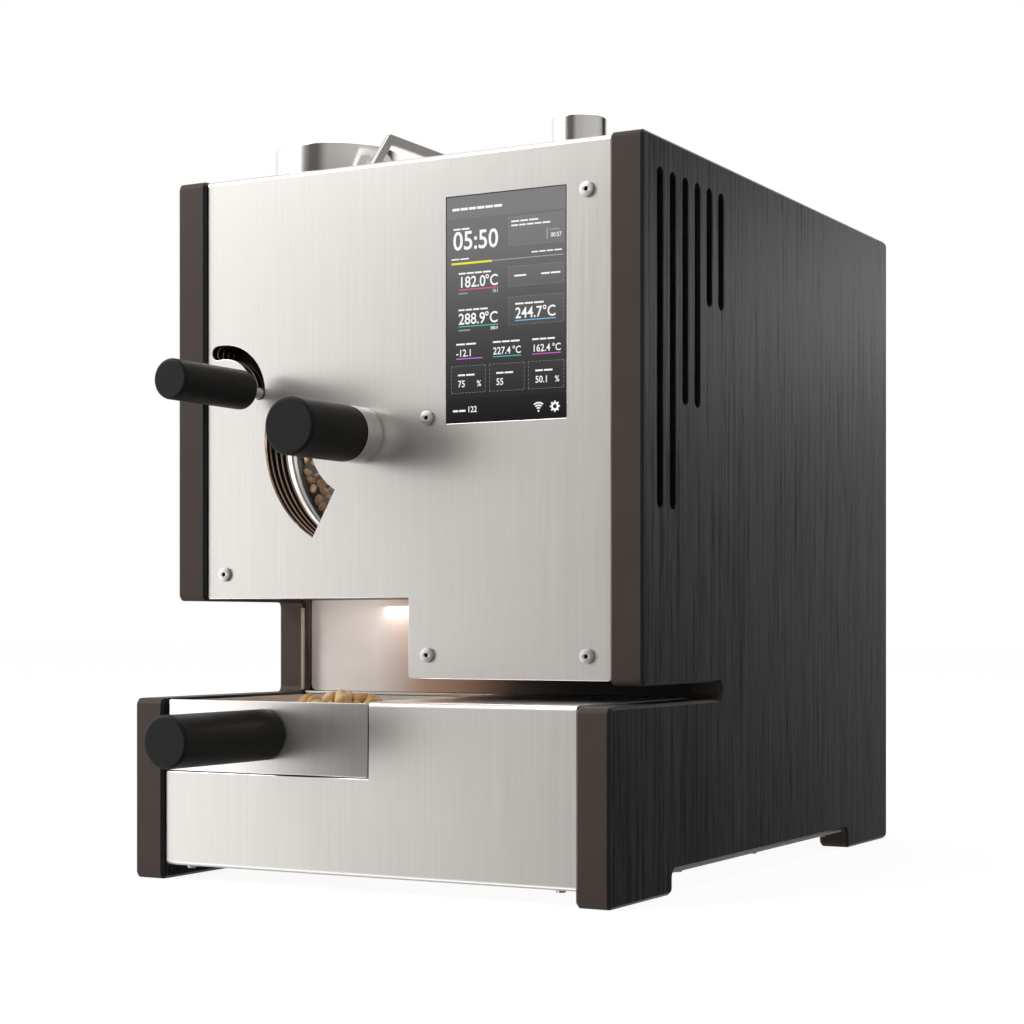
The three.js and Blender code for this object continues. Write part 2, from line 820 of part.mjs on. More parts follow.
function addDrumFrontPlate() {
  const through = (shape, steps = discSteps) => throughY(shape, frontPlateY, frontPlateBack, steps);
  const [top, bottom] = [drumZ + frontPlateTopRise, drumZ - frontPlateBottomDrop];
  const shoulder = drumZ + frontPlateShoulderRise;
  const plate = cut(
    alongY(outline([
      [-sheetX, bottom], [frontPlateRightX, bottom], [frontPlateRightX, top],
      [frontPlateCrownX, top], [frontPlateShoulderX, shoulder],
      [-sheetX, shoulder]], sheetCornerRadius), frontPlateY, frontPlateBack),
    through(windowSector(), arcSteps),
    through(disc(drumX, drumZ, trierTubeRadius + gap)),
    through(disc(leverX, leverZ, leverPinRadius + gap)),
    through(disc(leverX + gateReach, leverZ, chargePortRadius)),
    through(rectangle(dischargeX - dischargeWidth / 2, dischargeZ - dischargeHeight / 2,
      dischargeX + dischargeWidth / 2, dischargeZ + dischargeHeight / 2, sheetCornerRadius), cornerSteps));
  const half = dischargeWidth / 2 + doorMargin;
  const chuteTop = dischargeZ - dischargeHeight / 2 - doorDrop;
  const chuteFront = frontPlateY - dischargeChuteDepth;
  const chuteBottom = bayTop + panelStepLift + thinSheet + 2 * gap;
  const chute = cut(
    block(dischargeX - half, dischargeX + half, chuteFront, frontPlateY + thinSheet, chuteBottom, chuteTop),
    block(dischargeX - half + thinSheet, dischargeX + half - thinSheet, chuteFront + thinSheet,
      frontPlateY - thinSheet, chuteBottom - overrun, chuteTop + overrun));
  place('drum_front_plate', join(plate, chute), castMetal);
}

// Charge lever: handle, stem, pivot pin and the gate that it swings off the charge port

function addChargeLever() {
  const stemX = leverX + leverRadius;
  const grip = knob(leverHandleRadius, leverHandleFront, leverHandleBack, handleEdge);
  const socket = rod(leverStemRadius + gap, leverHandleBack - leverStemSocket, leverHandleBack + overrun);
  place('charge_lever_handle', cut(
    turnedY(grip, stemX, leverZ, fineSteps), turnedY(socket, stemX, leverZ)), matteBlack);
  place('charge_lever_stem', turnedY(
    rod(leverStemRadius, leverHandleBack - leverStemSocket + gap, gateY - gap), stemX, leverZ), brushedSteel);
  const bladeX = leverX + gateReach;
  const half = gateArmWidth / 2;
  const gate = cut(
    join(
      alongY(disc(leverX, leverZ, half), gateY, gateY + gateThickness, discSteps),
      alongY(rectangle(leverX, leverZ - half, bladeX, leverZ + half), gateY, gateY + gateThickness),
      alongY(disc(bladeX, leverZ, gateBladeRadius), gateY, gateY + gateThickness, discSteps)),
    throughY(disc(leverX, leverZ, leverPinRadius + gap), gateY, gateY + gateThickness, arcSteps));
  place('charge_gate', gate, brushedSteel);
  const [pinFront, pinBack] = [gateY - gateThickness, frontPlateBack + gateThickness];
  place('lever_pivot_pin', turnedY([
    [0, pinFront], [half, pinFront], [half, gateY - gap], [leverPinRadius, gateY - gap],
    [leverPinRadius, pinBack], [0, pinBack]], leverX, leverZ), wireMetal);
}

// Trier: a fixed collar, a sleeve that turns in it, and a scoop with its handle that slides in the sleeve

function addTrier() {
  const collarFront = panelY - gap - trierCollarLength;
  const handleBack = collarFront - gap;
  const handleFront = handleBack - trierHandleLength;
  const socketFront = handleBack - trierSocket;
  const collar = ring(trierSleeveRadius + gap, trierCollarRadius, collarFront, panelY - gap);
  const sleeve = ring(trierTubeRadius + gap, trierSleeveRadius, collarFront, collarFront + trierSleeveLength);
  const grip = knob(trierHandleRadius, handleFront, handleBack, handleEdge);
  const socket = rod(trierTubeRadius + gap, socketFront, handleBack + overrun);
  place('trier_collar', turnedY(collar, drumX, drumZ, fineSteps), brushedSteel);
  place('trier_sleeve', turnedY(sleeve, drumX, drumZ), wireMetal);
  place('trier_handle', cut(
    turnedY(grip, drumX, drumZ, fineSteps), turnedY(socket, drumX, drumZ)), matteBlack);
  const tip = trierReach;
  const wall = trierScoopWall;
  const bowl = trierTubeRadius - wall;
  const scoopStart = tip - wall - trierScoopLength;
  const scoop = cut(
    turnedY(knob(trierTubeRadius, socketFront + gap, tip, wall / 2), drumX, drumZ),
    turnedY(rod(bowl, scoopStart, tip - wall), drumX, drumZ),
    block(drumX - bowl, drumX + bowl, scoopStart, tip - wall, drumZ, drumZ + trierTubeRadius + overrun));
  place('trier_scoop', scoop, brushedSteel);
}

// Drum: an open steel cup with lifting vanes, on a shaft at its back

function addDrum() {
  const outer = drumRadius + drumWall;
  const inner = drumEnd - drumBack;
  const cup = turnedY([
    [0, inner - drumHubLength], [drumHubRadius, inner - drumHubLength], [drumHubRadius, inner],
    [drumRadius, inner], [drumRadius, drumFront], [outer, drumFront], [outer, drumEnd], [0, drumEnd]],
  drumX, drumZ, fineSteps);
  const half = vaneThickness / 2;
  const vane = block(drumX - half, drumX + half, drumFront + vaneHeight, inner + drumBack / 2,
    drumZ + drumRadius - vaneHeight, drumZ + drumRadius + drumWall / 2);
  const vanes = Array.from({ length: vaneCount }, (_, i) =>
    spun(vane, axisY, new THREE.Vector3(drumX, 0, drumZ), (i + 1 / 2) * 2 * Math.PI / vaneCount));
  const shaft = turnedY(rod(shaftRadius, drumEnd - drumBack / 2, shaftEnd), drumX, drumZ);
  place('drum', join(cup, shaft, ...vanes), drumMetal);
  const couplingFront = shaftEnd - couplingOverlap;
  const couplingBack = couplingFront + couplingLength;
  const motorBoreFront = shaftEnd + gap + couplingWeb;
  place('shaft_coupling', cut(
    turnedY(knob(couplingRadius, couplingFront, couplingBack, handleEdge), drumX, drumZ),
    turnedY(rod(shaftRadius + gap, couplingFront - overrun, shaftEnd + gap), drumX, drumZ),
    turnedY(rod(motorShaftRadius + gap, motorBoreFront, couplingBack + overrun), drumX, drumZ)),
  castMetal);
}

// Housing round the drum: a can with the air neck on top and a rear wall that holds the bearing

function addDrumHousing() {
  const neckTop = chaffBottomZ - gap;
  const shell = cut(
    join(
      turnedY(rod(housingOuter, housingFront, rearWallBack), drumX, drumZ, fineSteps),
      turnedZ(rod(neckRadius + neckWall, drumZ, neckTop), neckX, fanY)),
    turnedY(rod(housingInner, housingFront - overrun, housingEnd), drumX, drumZ, fineSteps),
    turnedZ(rod(neckRadius, drumZ, neckTop + overrun), neckX, fanY),
    turnedY(rod(bearingRadius + gap, housingEnd - overrun, rearWallBack + overrun), drumX, drumZ),
    turnedY(rod(heaterRadius - heaterWall, housingEnd - overrun, rearWallBack + overrun), heaterX, heaterZ));
  place('drum_housing', shell, castMetal);
  const middle = (housingEnd + rearWallBack) / 2;
  place('drum_bearing', turnedY(
    ring(shaftRadius + shaftClearance, bearingRadius, middle - bearingLength / 2, middle + bearingLength / 2),
    drumX, drumZ), wireMetal);
}

// Gear motor behind the drum and the bracket that holds it to the rear plate

function addDrumMotor() {
  const couplingBack = shaftEnd - couplingOverlap + couplingLength;
  const seat = rearWallBack + gap;
  const bracketFront = rearWallBack + bracketReach;
  const motorFront = bracketFront + bracketThickness + gap;
  const half = bracketWidth / 2;
  const profile = outline([
    [drumX - half, seat], [drumX - half + bracketThickness, seat],
    [drumX - half + bracketThickness, bracketFront], [drumX + half - bracketThickness, bracketFront],
    [drumX + half - bracketThickness, seat], [drumX + half, seat],
    [drumX + half, bracketFront + bracketThickness], [drumX - half, bracketFront + bracketThickness]]);
  const bracketBottom = heaterZ + heaterRadius + gap;
  place('motor_bracket', cut(
    alongZ(profile, bracketBottom, bracketBottom + bracketHeight),
    turnedY(rod(couplingRadius + gap, bracketFront - overrun, motorFront + overrun), drumX, drumZ)),
  brushedSteel);
  const shaftFront = couplingBack - motorShaftLength / 2;
  const gearBack = motorFront + motorLength / 2;
  const canRadius = motorRadius - motorCanStep;
  place('drum_motor', turnedY([
    [0, shaftFront], [motorShaftRadius, shaftFront], [motorShaftRadius, motorFront],
    [motorRadius, motorFront], [motorRadius, gearBack], [canRadius, gearBack],
    [canRadius, motorFront + motorLength], [0, motorFront + motorLength]], drumX, drumZ, fineSteps),
  wireMetal);
}

// Heater: a tube over a bored ceramic core, open at the back and seated on the housing's air port

function addHeater() {
  const front = rearWallBack + gap;
  const coreFront = front + heaterCoreInset;
  const bores = Array.from({ length: heaterBores }, (_, i) => {
    const angle = i * 2 * Math.PI / heaterBores;
    return turnedY(rod(heaterBoreRadius, coreFront - overrun, coreFront + heaterCoreLength + overrun),
      heaterX + heaterBoreCircle * Math.cos(angle), heaterZ + heaterBoreCircle * Math.sin(angle), boreSteps);
  });
  place('heater', cut(
    join(
      turnedY(ring(heaterRadius - heaterWall, heaterRadius, front, front + heaterLength), heaterX, heaterZ),
      turnedY(rod(heaterRadius - heaterWall / 2, coreFront, coreFront + heaterCoreLength), heaterX, heaterZ)),
    ...bores), ceramicWhite);
}

// Hopper: a round steel tube above the top cover, narrowing to the charge chute

function addHopper() {
  const inner = hopperRadius - hopperWall;
  const coneTop = hopperTop - hopperRise - hopperStraight;
  const coneBottom = coneTop - hopperConeHeight;
  const throat = chuteRadius - chuteWall;
  const profile = [
    [inner, hopperTop], [inner, coneTop], [throat, coneBottom], [chuteRadius, coneBottom],
    [hopperRadius, coneTop], [hopperRadius, hopperTop], [inner, hopperTop]];
  const funnel = turned(profile, fineSteps);
  funnel.rotateX(Math.PI / 2);
  leanForward(funnel, coneTop, hopperLean / hopperConeHeight);
  funnel.translate(hopperX, hopperY, 0);
  place('hopper', solid(funnel), brightSteel);
  const section = disc(0, 0, chuteRadius);
  section.holes.push(disc(0, 0, throat));
  const mouth = new THREE.Vector3(leverX + gateReach, gateY - gap, leverZ);
  const start = new THREE.Vector3(hopperX, hopperY - hopperLean, coneBottom - gap);
  const path = new THREE.CatmullRomCurve3(chutePoints(start, mouth));
  const geometry = new THREE.ExtrudeGeometry(section, {
    steps: chuteRings, extrudePath: path, bevelEnabled: false, curveSegments: chuteSides });
  const margin = 2 * chuteRadius;
  place('charge_chute', cut(
    solid(geometry),
    block(start.x - margin, start.x + margin, start.y - margin, start.y + margin, start.z, start.z + margin),
    block(mouth.x - margin, mouth.x + margin, mouth.y, mouth.y + margin, mouth.z - margin, mouth.z + margin)),
  brushedSteel);
}

// Everything below the given height is sheared forward
function leanForward(geometry, height, slope) {
  const places = geometry.getAttribute('position');
  for (let i = 0; i < places.count; i += 1) {
    places.setY(i, places.getY(i) - Math.max(0, height - places.getZ(i)) * slope);
  }
}

// The chute eases forward past the drum's front plate, drops behind the panel and turns back into the port
function chutePoints(start, mouth) {
  const bendTop = mouth.clone().add(new THREE.Vector3(0, -chuteBend, chuteBend));
  const points = [start.clone().setZ(start.z + overrun)];
  for (let i = 0; i <= chuteEasePoints; i += 1) {
    const share = i / chuteEasePoints;
    const eased = THREE.MathUtils.smoothstep(share, 0, chuteEaseShare);
    const point = new THREE.Vector3().lerpVectors(start, bendTop, eased);
    points.push(point.setZ(THREE.MathUtils.lerp(start.z, bendTop.z, share)));
  }
  const elbow = chuteBend * (1 - Math.SQRT1_2);
  points.push(mouth.clone().add(new THREE.Vector3(0, elbow - chuteBend, elbow)), mouth);
  points.push(mouth.clone().setY(mouth.y + overrun));
  return points;
}

// Discharge: a door over the lower port, hinged along its top on the shaft of a small servo beside it

function addDischarge() {
  const half = dischargeWidth / 2 + doorMargin;
  const [left, right] = [dischargeX - half, dischargeX + half];
  const doorFront = doorBack - doorThickness;
  const servoLeft = right + gap;
  const shaftRight = servoLeft + servoWidth / 2;
  const onHinge = (radius, from, to) => turnedX(rod(radius, from, to), doorHingeY, doorHingeZ, smallSteps);
  place('discharge_door', join(
    block(left, right, doorFront, doorBack, dischargeZ - dischargeHeight / 2 - doorMargin, doorHingeZ),
    onHinge(doorBarrelRadius, left, right),
    onHinge(doorPinRadius, right - doorMargin, shaftRight)), brushedSteel);
  place('door_servo', cut(
    block(servoLeft, servoLeft + servoWidth, doorBack - servoDepth, doorBack,
      doorHingeZ + servoRise - servoHeight, doorHingeZ + servoRise),
    onHinge(doorPinRadius + gap, servoLeft - overrun, shaftRight + gap)), matteBlack);
}

// Chaff box under the top cover, with a hinged lid and a flat loop handle

function addChaffBox() {
  const wall = thinSheet;
  const top = coverBottom - gap;
  const box = cut(
    block(chaffLeft, chaffRight, chaffFront, chaffBack, chaffBottomZ, top),
    block(chaffLeft + wall, chaffRight - wall, chaffFront + wall, chaffBack - wall,
      chaffBottomZ + wall, top + overrun),
    turnedZ(rod(neckRadius, chaffBottomZ - overrun, chaffBottomZ + overrun), neckX, fanY),
    turnedX(rod(fanInletRadius, chaffRight - overrun, chaffRight + overrun), fanY, fanZ));
  place('chaff_box', box, brushedSteel);
  const lidLeft = chaffLeft - lidOverlap;
  const lidRight = chaffRight + lidOverlap;
  const lidBottom = panelTop + lidLift;
  const lidTop = lidBottom + lidThickness;
  const hingeX = lidRight + hingeOffset;
  const hingeZ = lidTop + hingeRadius;
  const [hingeFront, hingeBack] = [chaffFront + hingeInset, chaffBack - hingeInset];
  const outerKnuckles = [[hingeFront, hingeFront + hingeKnuckle], [hingeBack - hingeKnuckle, hingeBack]];
  const lidKnuckle = [hingeFront + hingeKnuckle + gap, hingeBack - hingeKnuckle - gap];
  place('chaff_lid', cut(
    join(
      block(lidLeft, lidRight, chaffFront - lidOverlap, chaffBack + lidOverlap, lidBottom, lidTop),
      turnedY(rod(hingeRadius, ...lidKnuckle), hingeX, hingeZ, smallSteps),
      block(lidRight - lidOverlap, hingeX, ...lidKnuckle, lidBottom, hingeZ)),
    turnedY(rod(hingePinRadius + gap, hingeFront, hingeBack), hingeX, hingeZ, smallSteps)), brushedSteel);
  const leafLeft = hingeX + hingeRadius + gap;
  const leafBottom = panelTop + gap;
  place('lid_hinge', join(
    turnedY(rod(hingePinRadius, hingeFront, hingeBack), hingeX, hingeZ, smallSteps),
    block(leafLeft, leafLeft + hingeLeaf, hingeFront, hingeBack, leafBottom, lidTop),
    ...outerKnuckles.map(([from, to]) => join(
      turnedY(rod(hingeRadius, from, to), hingeX, hingeZ, smallSteps),
      block(hingeX, leafLeft + hingeLeaf / 2, from, to, leafBottom, lidTop + hingeRadius / 2)))), wireMetal);
  place('lid_handle', lidHandle(lidTop + gap), brushedSteel);
}

function lidHandle(bottom) {
  const front = chaffFront - lidOverlap + lidHandleInset;
  const back = chaffBack + lidOverlap - lidHandleInset;
  const lean = lidHandleLean;
  const band = lidHandleBand;
  const slope = lean / (lidHandleTop - bottom);
  const legWidth = band * Math.hypot(1, slope);
  const innerTop = lidHandleTop - band;
  const innerLean = slope * (innerTop - bottom);
  const outer = outline([
    [front, bottom], [back, bottom],
    [back - lean, lidHandleTop], [front + lean, lidHandleTop]], lidHandleCorner);
  const [innerFront, innerBack] = [front + legWidth, back - legWidth];
  const hollow = outline([
    [innerFront - slope * overrun, bottom - overrun], [innerBack + slope * overrun, bottom - overrun],
    [innerBack - innerLean, innerTop], [innerFront + innerLean, innerTop]], sheetCornerRadius);
  const [left, right] = [lidHandleX - lidHandleThickness / 2, lidHandleX + lidHandleThickness / 2];
  return cut(
    alongX(outer, left, right),
    alongX(hollow, left - overrun, right + overrun),
    block(left, right, front - overrun, back + overrun, bottom - overrun, bottom));
}

// Exhaust: a duct from the chaff box, a fan in its casing and the pipe through the top cover

function addExhaust() {
  const outletHalf = exhaustRadius + fanOutletMargin;
  const innerHalf = outletHalf - fanWall;
  const pipeBore = exhaustRadius - exhaustWall;
  const [left, right] = [fanCasingLeft, fanCasingRight];
  const casing = cut(
    join(
      turnedX(rod(fanCasingRadius, left, right), fanY, fanZ, fineSteps),
      turnedX(rod(ductRadius, chaffRight + gap, left + fanWall / 2), fanY, fanZ),
      block(left, right, exhaustY - outletHalf, exhaustY + outletHalf, fanZ, fanCasingTop)),
    turnedX(rod(fanCasingRadius - fanWall, left + fanWall, right - fanWall), fanY, fanZ, fineSteps),
    block(left + fanWall, right - fanWall, exhaustY - innerHalf, exhaustY + innerHalf,
      fanZ, fanCasingTop - fanWall),
    turnedZ(rod(pipeBore, fanZ, fanCasingTop + overrun), exhaustX, exhaustY),
    turnedX(rod(fanInletRadius, chaffRight, left + overrun), fanY, fanZ),
    turnedX(rod(fanShaftRadius + gap, right - overrun, right + overrun), fanY, fanZ, smallSteps));
  place('exhaust_fan_casing', casing, castMetal);
  const pipe = ring(pipeBore, exhaustRadius, fanCasingTop + gap, bodyHeight + exhaustRise);
  place('exhaust_pipe', turnedZ(pipe, exhaustX, exhaustY, fineSteps), brightSteel);
  const discRight = right - fanWall - impellerInset;
  const discLeft = discRight - impellerDisc;
  const socketRight = right + fanMotorSocket;
  const hub = turnedX([
    [0, discLeft - impellerBladeHeight], [impellerHubRadius, discLeft - impellerBladeHeight],
    [impellerHubRadius, discLeft], [impellerRadius, discLeft], [impellerRadius, discRight],
    [fanShaftRadius, discRight], [fanShaftRadius, socketRight], [0, socketRight]], fanY, fanZ);
  const half = impellerBladeThickness / 2;
  const blade = block(discLeft - impellerBladeHeight, discLeft + impellerDisc / 2, fanY - half, fanY + half,
    fanZ + impellerHubRadius * 2, fanZ + impellerRadius);
  const blades = Array.from({ length: impellerBlades }, (_, i) =>
    spun(blade, axisX, new THREE.Vector3(0, fanY, fanZ), i * 2 * Math.PI / impellerBlades));
  place('exhaust_impeller', join(hub, ...blades), castMetal);
  place('exhaust_fan_motor', cut(
    turnedX(rod(fanMotorRadius, right + gap, innerX - gap), fanY, fanZ),
    turnedX(rod(fanShaftRadius + gap, right, socketRight + gap), fanY, fanZ, smallSteps)), matteBlack);
}

// Lower front panel: one sheet with the deck folded back on top, cut away at the left for the tray

function addLowerFrontPanel() {
  const y = lowerPanelY;
  const [top, bottom] = [deckTop, lowerPanelBottom];
  const r = bendRadius;
  const shape = new THREE.Shape();
  shape.moveTo(bayWallY - gap, top);
  shape.lineTo(bayWallY - gap, top - sheet);
  shape.absarc(y + r, top - r, r - sheet, Math.PI / 2, Math.PI, false);
  shape.absarc(y + r, bottom + r, r - sheet, Math.PI, 3 * Math.PI / 2, false);
  shape.lineTo(y + lowerPanelFlange, bottom + sheet);
  shape.lineTo(y + lowerPanelFlange, bottom);
  shape.absarc(y + r, bottom + r, r, 3 * Math.PI / 2, Math.PI, true);
  shape.absarc(y + r, top - r, r, Math.PI, Math.PI / 2, true);
  shape.closePath();
  const sheetSolid = cut(
    alongX(shape, -sheetX, sheetX),
    block(-halfWidth, trayRight + trayFaceGap, y - overrun, bayWallY + overrun,
      trayBottom - trayFaceGap, bodyHeight));
  place('lower_front_panel', sheetSolid, brushedSteel);
}

// Cooling tray: a bin with a steel face, a round handle and a slotted screen

function addCoolingTray() {
  const faceBack = lowerPanelY + sheet;
  place('tray_face', alongY(
    rectangle(trayLeft, trayBottom, trayRight, trayTop), lowerPanelY, faceBack), brushedSteel);
  place('tray_handle', turnedY(
    knob(trayHandleRadius, lowerPanelY - gap - trayHandleLength, lowerPanelY - gap, handleEdge),
    trayHandleX, trayBottom + trayHandleRise, fineSteps), matteBlack);
  const [left, right] = [trayLeft + trayInset, trayRight - trayInset];
  const [front, back] = [faceBack + gap, faceBack + gap + trayDepth];
  const bottom = trayBottom + trayInset;
  const top = trayTop - trayInset;
  place('tray_bin', cut(
    block(left, right, front, back, bottom, top),
    block(left + trayWall, right - trayWall, front + trayWall, back - trayWall,
      bottom + trayWall, top + overrun),
    block(left + trayLedge, right - trayLedge, front + trayLedge, back - trayLedge, bottom - overrun, top)),
  brushedSteel);
  const inset = trayWall + gap;
  const screenZ = trayBottom + screenRise;
  const screenLeft = left + inset;
  const screenRight = right - inset;
  const pitch = (back - front - 2 * screenMargin) / screenSlots;
  const slots = Array.from({ length: screenSlots }, (_, i) => {
    const y = front + screenMargin + (i + 1 / 2) * pitch;
    return alongZ(rectangle(screenLeft + screenMargin, y - screenSlotWidth / 2,
      screenRight - screenMargin, y + screenSlotWidth / 2), screenZ - overrun, screenZ + overrun);
  });
  const plate = block(
    screenLeft, screenRight, front + inset, back - inset, screenZ, screenZ + screenThickness);
  place('tray_screen', cut(plate, ...slots), brushedSteel);
  addTrayRunners(faceBack, back);
}

function addTrayRunners(faceBack, back) {
  const top = trayBottom + trayInset - gap;
  const front = faceBack + runnerFront;
  const bottom = top - runnerThickness;
  const left = -innerX + gap;
  const wallLeft = trayRight + trayFaceGap + gap;
  const right = wallLeft + thinSheet;
  place('tray_guide', join(
    block(left, left + runnerWidth, front, back, bottom, top),
    block(wallLeft - runnerWidth, right, front, back, bottom, top),
    block(left, right, back - runnerWidth, back, bottom, top),
    block(wallLeft, right, front, back, baseTop + gap, deckTop - sheet - gap)), brushedSteel);
}

// Bay lining: the folded underside of the upper section and the back wall

function addBayLining() {
  const ceiling = bayTop + panelStepLift + gap;
  const underside = slotTop + panelLowerLift + gap;
  const t = thinSheet;
  const stepX = panelStepX + gap;
  const profile = outline([
    [-sheetX, ceiling], [stepX, ceiling], [stepX, underside], [sheetX, underside],
    [sheetX, underside + t], [stepX + t, underside + t], [stepX + t, ceiling + t], [-sheetX, ceiling + t]]);
  const margin = thinSheet;
  const doorLeft = dischargeX - dischargeWidth / 2;
  const chuteBack = frontPlateY - gap - margin;
  place('bay_ceiling', cut(
    alongY(profile, panelBack + gap, bayWallY - gap),
    block(doorLeft, doorLeft + dischargeWidth, chuteBack - dischargeChuteDepth + 2 * margin, chuteBack,
      ceiling - overrun, ceiling + overrun)), blackPlate);
  const wallStep = underside - gap + bayWallOffset;
  place('bay_back_wall', alongY(outline([
    [-sheetX, deckTop + gap], [sheetX, deckTop + gap], [sheetX, wallStep], [stepX + t + gap, wallStep],
    [stepX + t + gap, ceiling + t], [-sheetX, ceiling + t]],
  bayCornerRadius), bayWallY, bayWallY + bayWallThickness), brushedSteel);
}

// Cooling fan on the base, under the tray

function addCoolingFan() {
  const bottom = baseTop + gap;
  const top = bottom + coolFanHeight;
  const half = coolFanSize / 2;
  const centre = new THREE.Vector3(coolFanX, coolFanY, 0);
  const around = (shape, count) =>
    Array.from({ length: count }, (_, i) => spun(shape, axisZ, centre, i * 2 * Math.PI / count));
  const strut = block(coolFanX, coolFanX + (coolFanBore + half) / 2,
    coolFanY - coolFanStrut / 2, coolFanY + coolFanStrut / 2, bottom, bottom + coolFanHubHeight);
  const casing = cut(
    block(coolFanX - half, coolFanX + half, coolFanY - half, coolFanY + half, bottom, top),
    turnedZ(rod(coolFanBore, bottom - overrun, top + overrun), coolFanX, coolFanY, fineSteps));
  const axleTop = bottom + coolFanHubHeight + coolFanHub / 2;
  place('cooling_fan_frame', join(
    casing, ...around(strut, coolFanStruts),
    turnedZ(rod(coolFanHub, bottom, bottom + coolFanHubHeight), coolFanX, coolFanY),
    turnedZ(rod(coolFanAxleRadius, bottom, axleTop), coolFanX, coolFanY, smallSteps)), matteBlack);
  const rotorBottom = bottom + coolFanHubHeight + gap;
  const rotorTop = top - gap;
  const [root, tip] = [coolFanHub / 2, coolFanBore - coolFanTipGap];
  const bladeGeometry = new THREE.BoxGeometry(tip - root, coolFanBladeThickness, rotorTop - rotorBottom);
  bladeGeometry.rotateX(radians(coolFanBladeTilt));
  bladeGeometry.translate(coolFanX + (tip + root) / 2, coolFanY, (rotorTop + rotorBottom) / 2);
  const blades = around(solid(bladeGeometry), coolFanBlades);
  const rotor = cut(
    join(turnedZ(rod(coolFanHub, rotorBottom, rotorTop), coolFanX, coolFanY), ...blades),
    turnedZ(
      rod(coolFanAxleRadius + gap, rotorBottom - overrun, axleTop + gap), coolFanX, coolFanY, smallSteps));
  place('cooling_fan_rotor', rotor, matteBlack);
}

// Base plate, top cover and rear panel

function addCovers() {
  const sideReach = halfWidth - plateThickness + baseSideReach;
  const rear = bodyDepth - rearRecess;
  const intake = Array.from({ length: intakeSlots }, (_, i) => {
    const y = coolFanY + (i - (intakeSlots - 1) / 2) * intakeSlotPitch;
    return alongZ(rectangle(coolFanX - intakeSlotLength / 2, y - rearSlotWidth / 2,
      coolFanX + intakeSlotLength / 2, y + rearSlotWidth / 2), baseBottomZ - overrun, baseTop + overrun);
  });
  const base = cut(
    alongZ(outline([
      [-sheetX, lowerPanelY + baseFront], [sheetX, lowerPanelY + baseFront], [sheetX, footLength + baseEnd],
      [sideReach, footLength + baseEnd], [sideReach, bodyDepth - footLength - baseEnd],
      [sheetX, bodyDepth - footLength - baseEnd], [sheetX, rear], [-sheetX, rear],
      [-sheetX, bodyDepth - footLength - baseEnd], [-sideReach, bodyDepth - footLength - baseEnd],
      [-sideReach, footLength + baseEnd], [-sheetX, footLength + baseEnd]]), baseBottomZ, baseTop),
    ...intake);
  place('base_plate', base, brushedSteel);
  const coverFront = panelY + panelTopFlange + gap;
  const through = (shape, steps) => alongZ(shape, coverBottom - overrun, panelTop + overrun, steps);
  place('top_cover', cut(
    alongZ(rectangle(-sheetX, coverFront, sheetX, rear), coverBottom, panelTop),
    through(disc(hopperX, hopperY, hopperRadius + gap), fineSteps / 2),
    through(disc(exhaustX, exhaustY, exhaustRadius + gap), coarseSteps),
    through(rectangle(chaffLeft + chaffFlange, chaffFront + chaffFlange, chaffRight - chaffFlange,
      chaffBack - chaffFlange, sheetCornerRadius))), brushedSteel);
  const rearSlotZ = drumZ + rearSlotRise;
  const rearSlot = (i) => alongY(stadium(rearSlotX + (i - (rearSlots - 1) / 2) * rearSlotPitch,
    rearSlotZ - rearSlotLength / 2, rearSlotZ + rearSlotLength / 2, rearSlotWidth),
  rear - sheet - overrun, rear + overrun);
  place('rear_panel', cut(
    alongY(rectangle(-sheetX, rearBottomZ, sheetX, coverBottom - gap, sheetCornerRadius), rear - sheet, rear),
    ...Array.from({ length: rearSlots }, (_, i) => rearSlot(i)),
    alongY(rectangle(inletX - inletWidth / 2 - gap, inletBottom - gap,
      inletX + inletWidth / 2 + gap, inletTop + gap), rear - sheet - overrun, rear + overrun)), brushedSteel);
}

// Mains inlet with the power switch above it, one moulding on the rear panel

function addRearFittings() {
  const rear = bodyDepth - rearRecess;
  const flangeFront = rear + gap;
  const flangeBack = flangeFront + inletFlangeThickness;
  const half = inletWidth / 2;
  const moulding = join(
    block(inletX - half, inletX + half, inletFront, flangeBack, inletBottom, inletTop),
    block(inletX - half - inletFlange, inletX + half + inletFlange, flangeFront, flangeBack,
      inletBottom - inletFlange, inletTop + inletFlange));
  const socketBottom = flangeBack - inletSocketDepth;
  const pins = [-1, 0, 1].map((i) => block(
    inletX + i * inletPinPitch - inletPinThickness / 2, inletX + i * inletPinPitch + inletPinThickness / 2,
    socketBottom - inletPinThickness, socketBottom + inletPinLength,
    inletZ - inletPinHeight / 2 + (1 - Math.abs(i)) * inletPinRise,
    inletZ + inletPinHeight / 2 + (1 - Math.abs(i)) * inletPinRise));
  const clear = rockerClearance;
  place('power_inlet', join(
    cut(moulding,
      block(inletX - inletSocketWidth / 2, inletX + inletSocketWidth / 2, socketBottom, flangeBack + overrun,
        inletZ - inletSocketHeight / 2, inletZ + inletSocketHeight / 2),
      block(inletX - rockerWidth / 2 - clear, inletX + rockerWidth / 2 + clear,
        flangeBack - rockerDepth - clear, flangeBack + overrun,
        switchZ - rockerHeight / 2 - clear, switchZ + rockerHeight / 2 + clear)),
    ...pins), matteBlack);
  place('power_rocker', rocker(flangeBack), matteBlack);
}

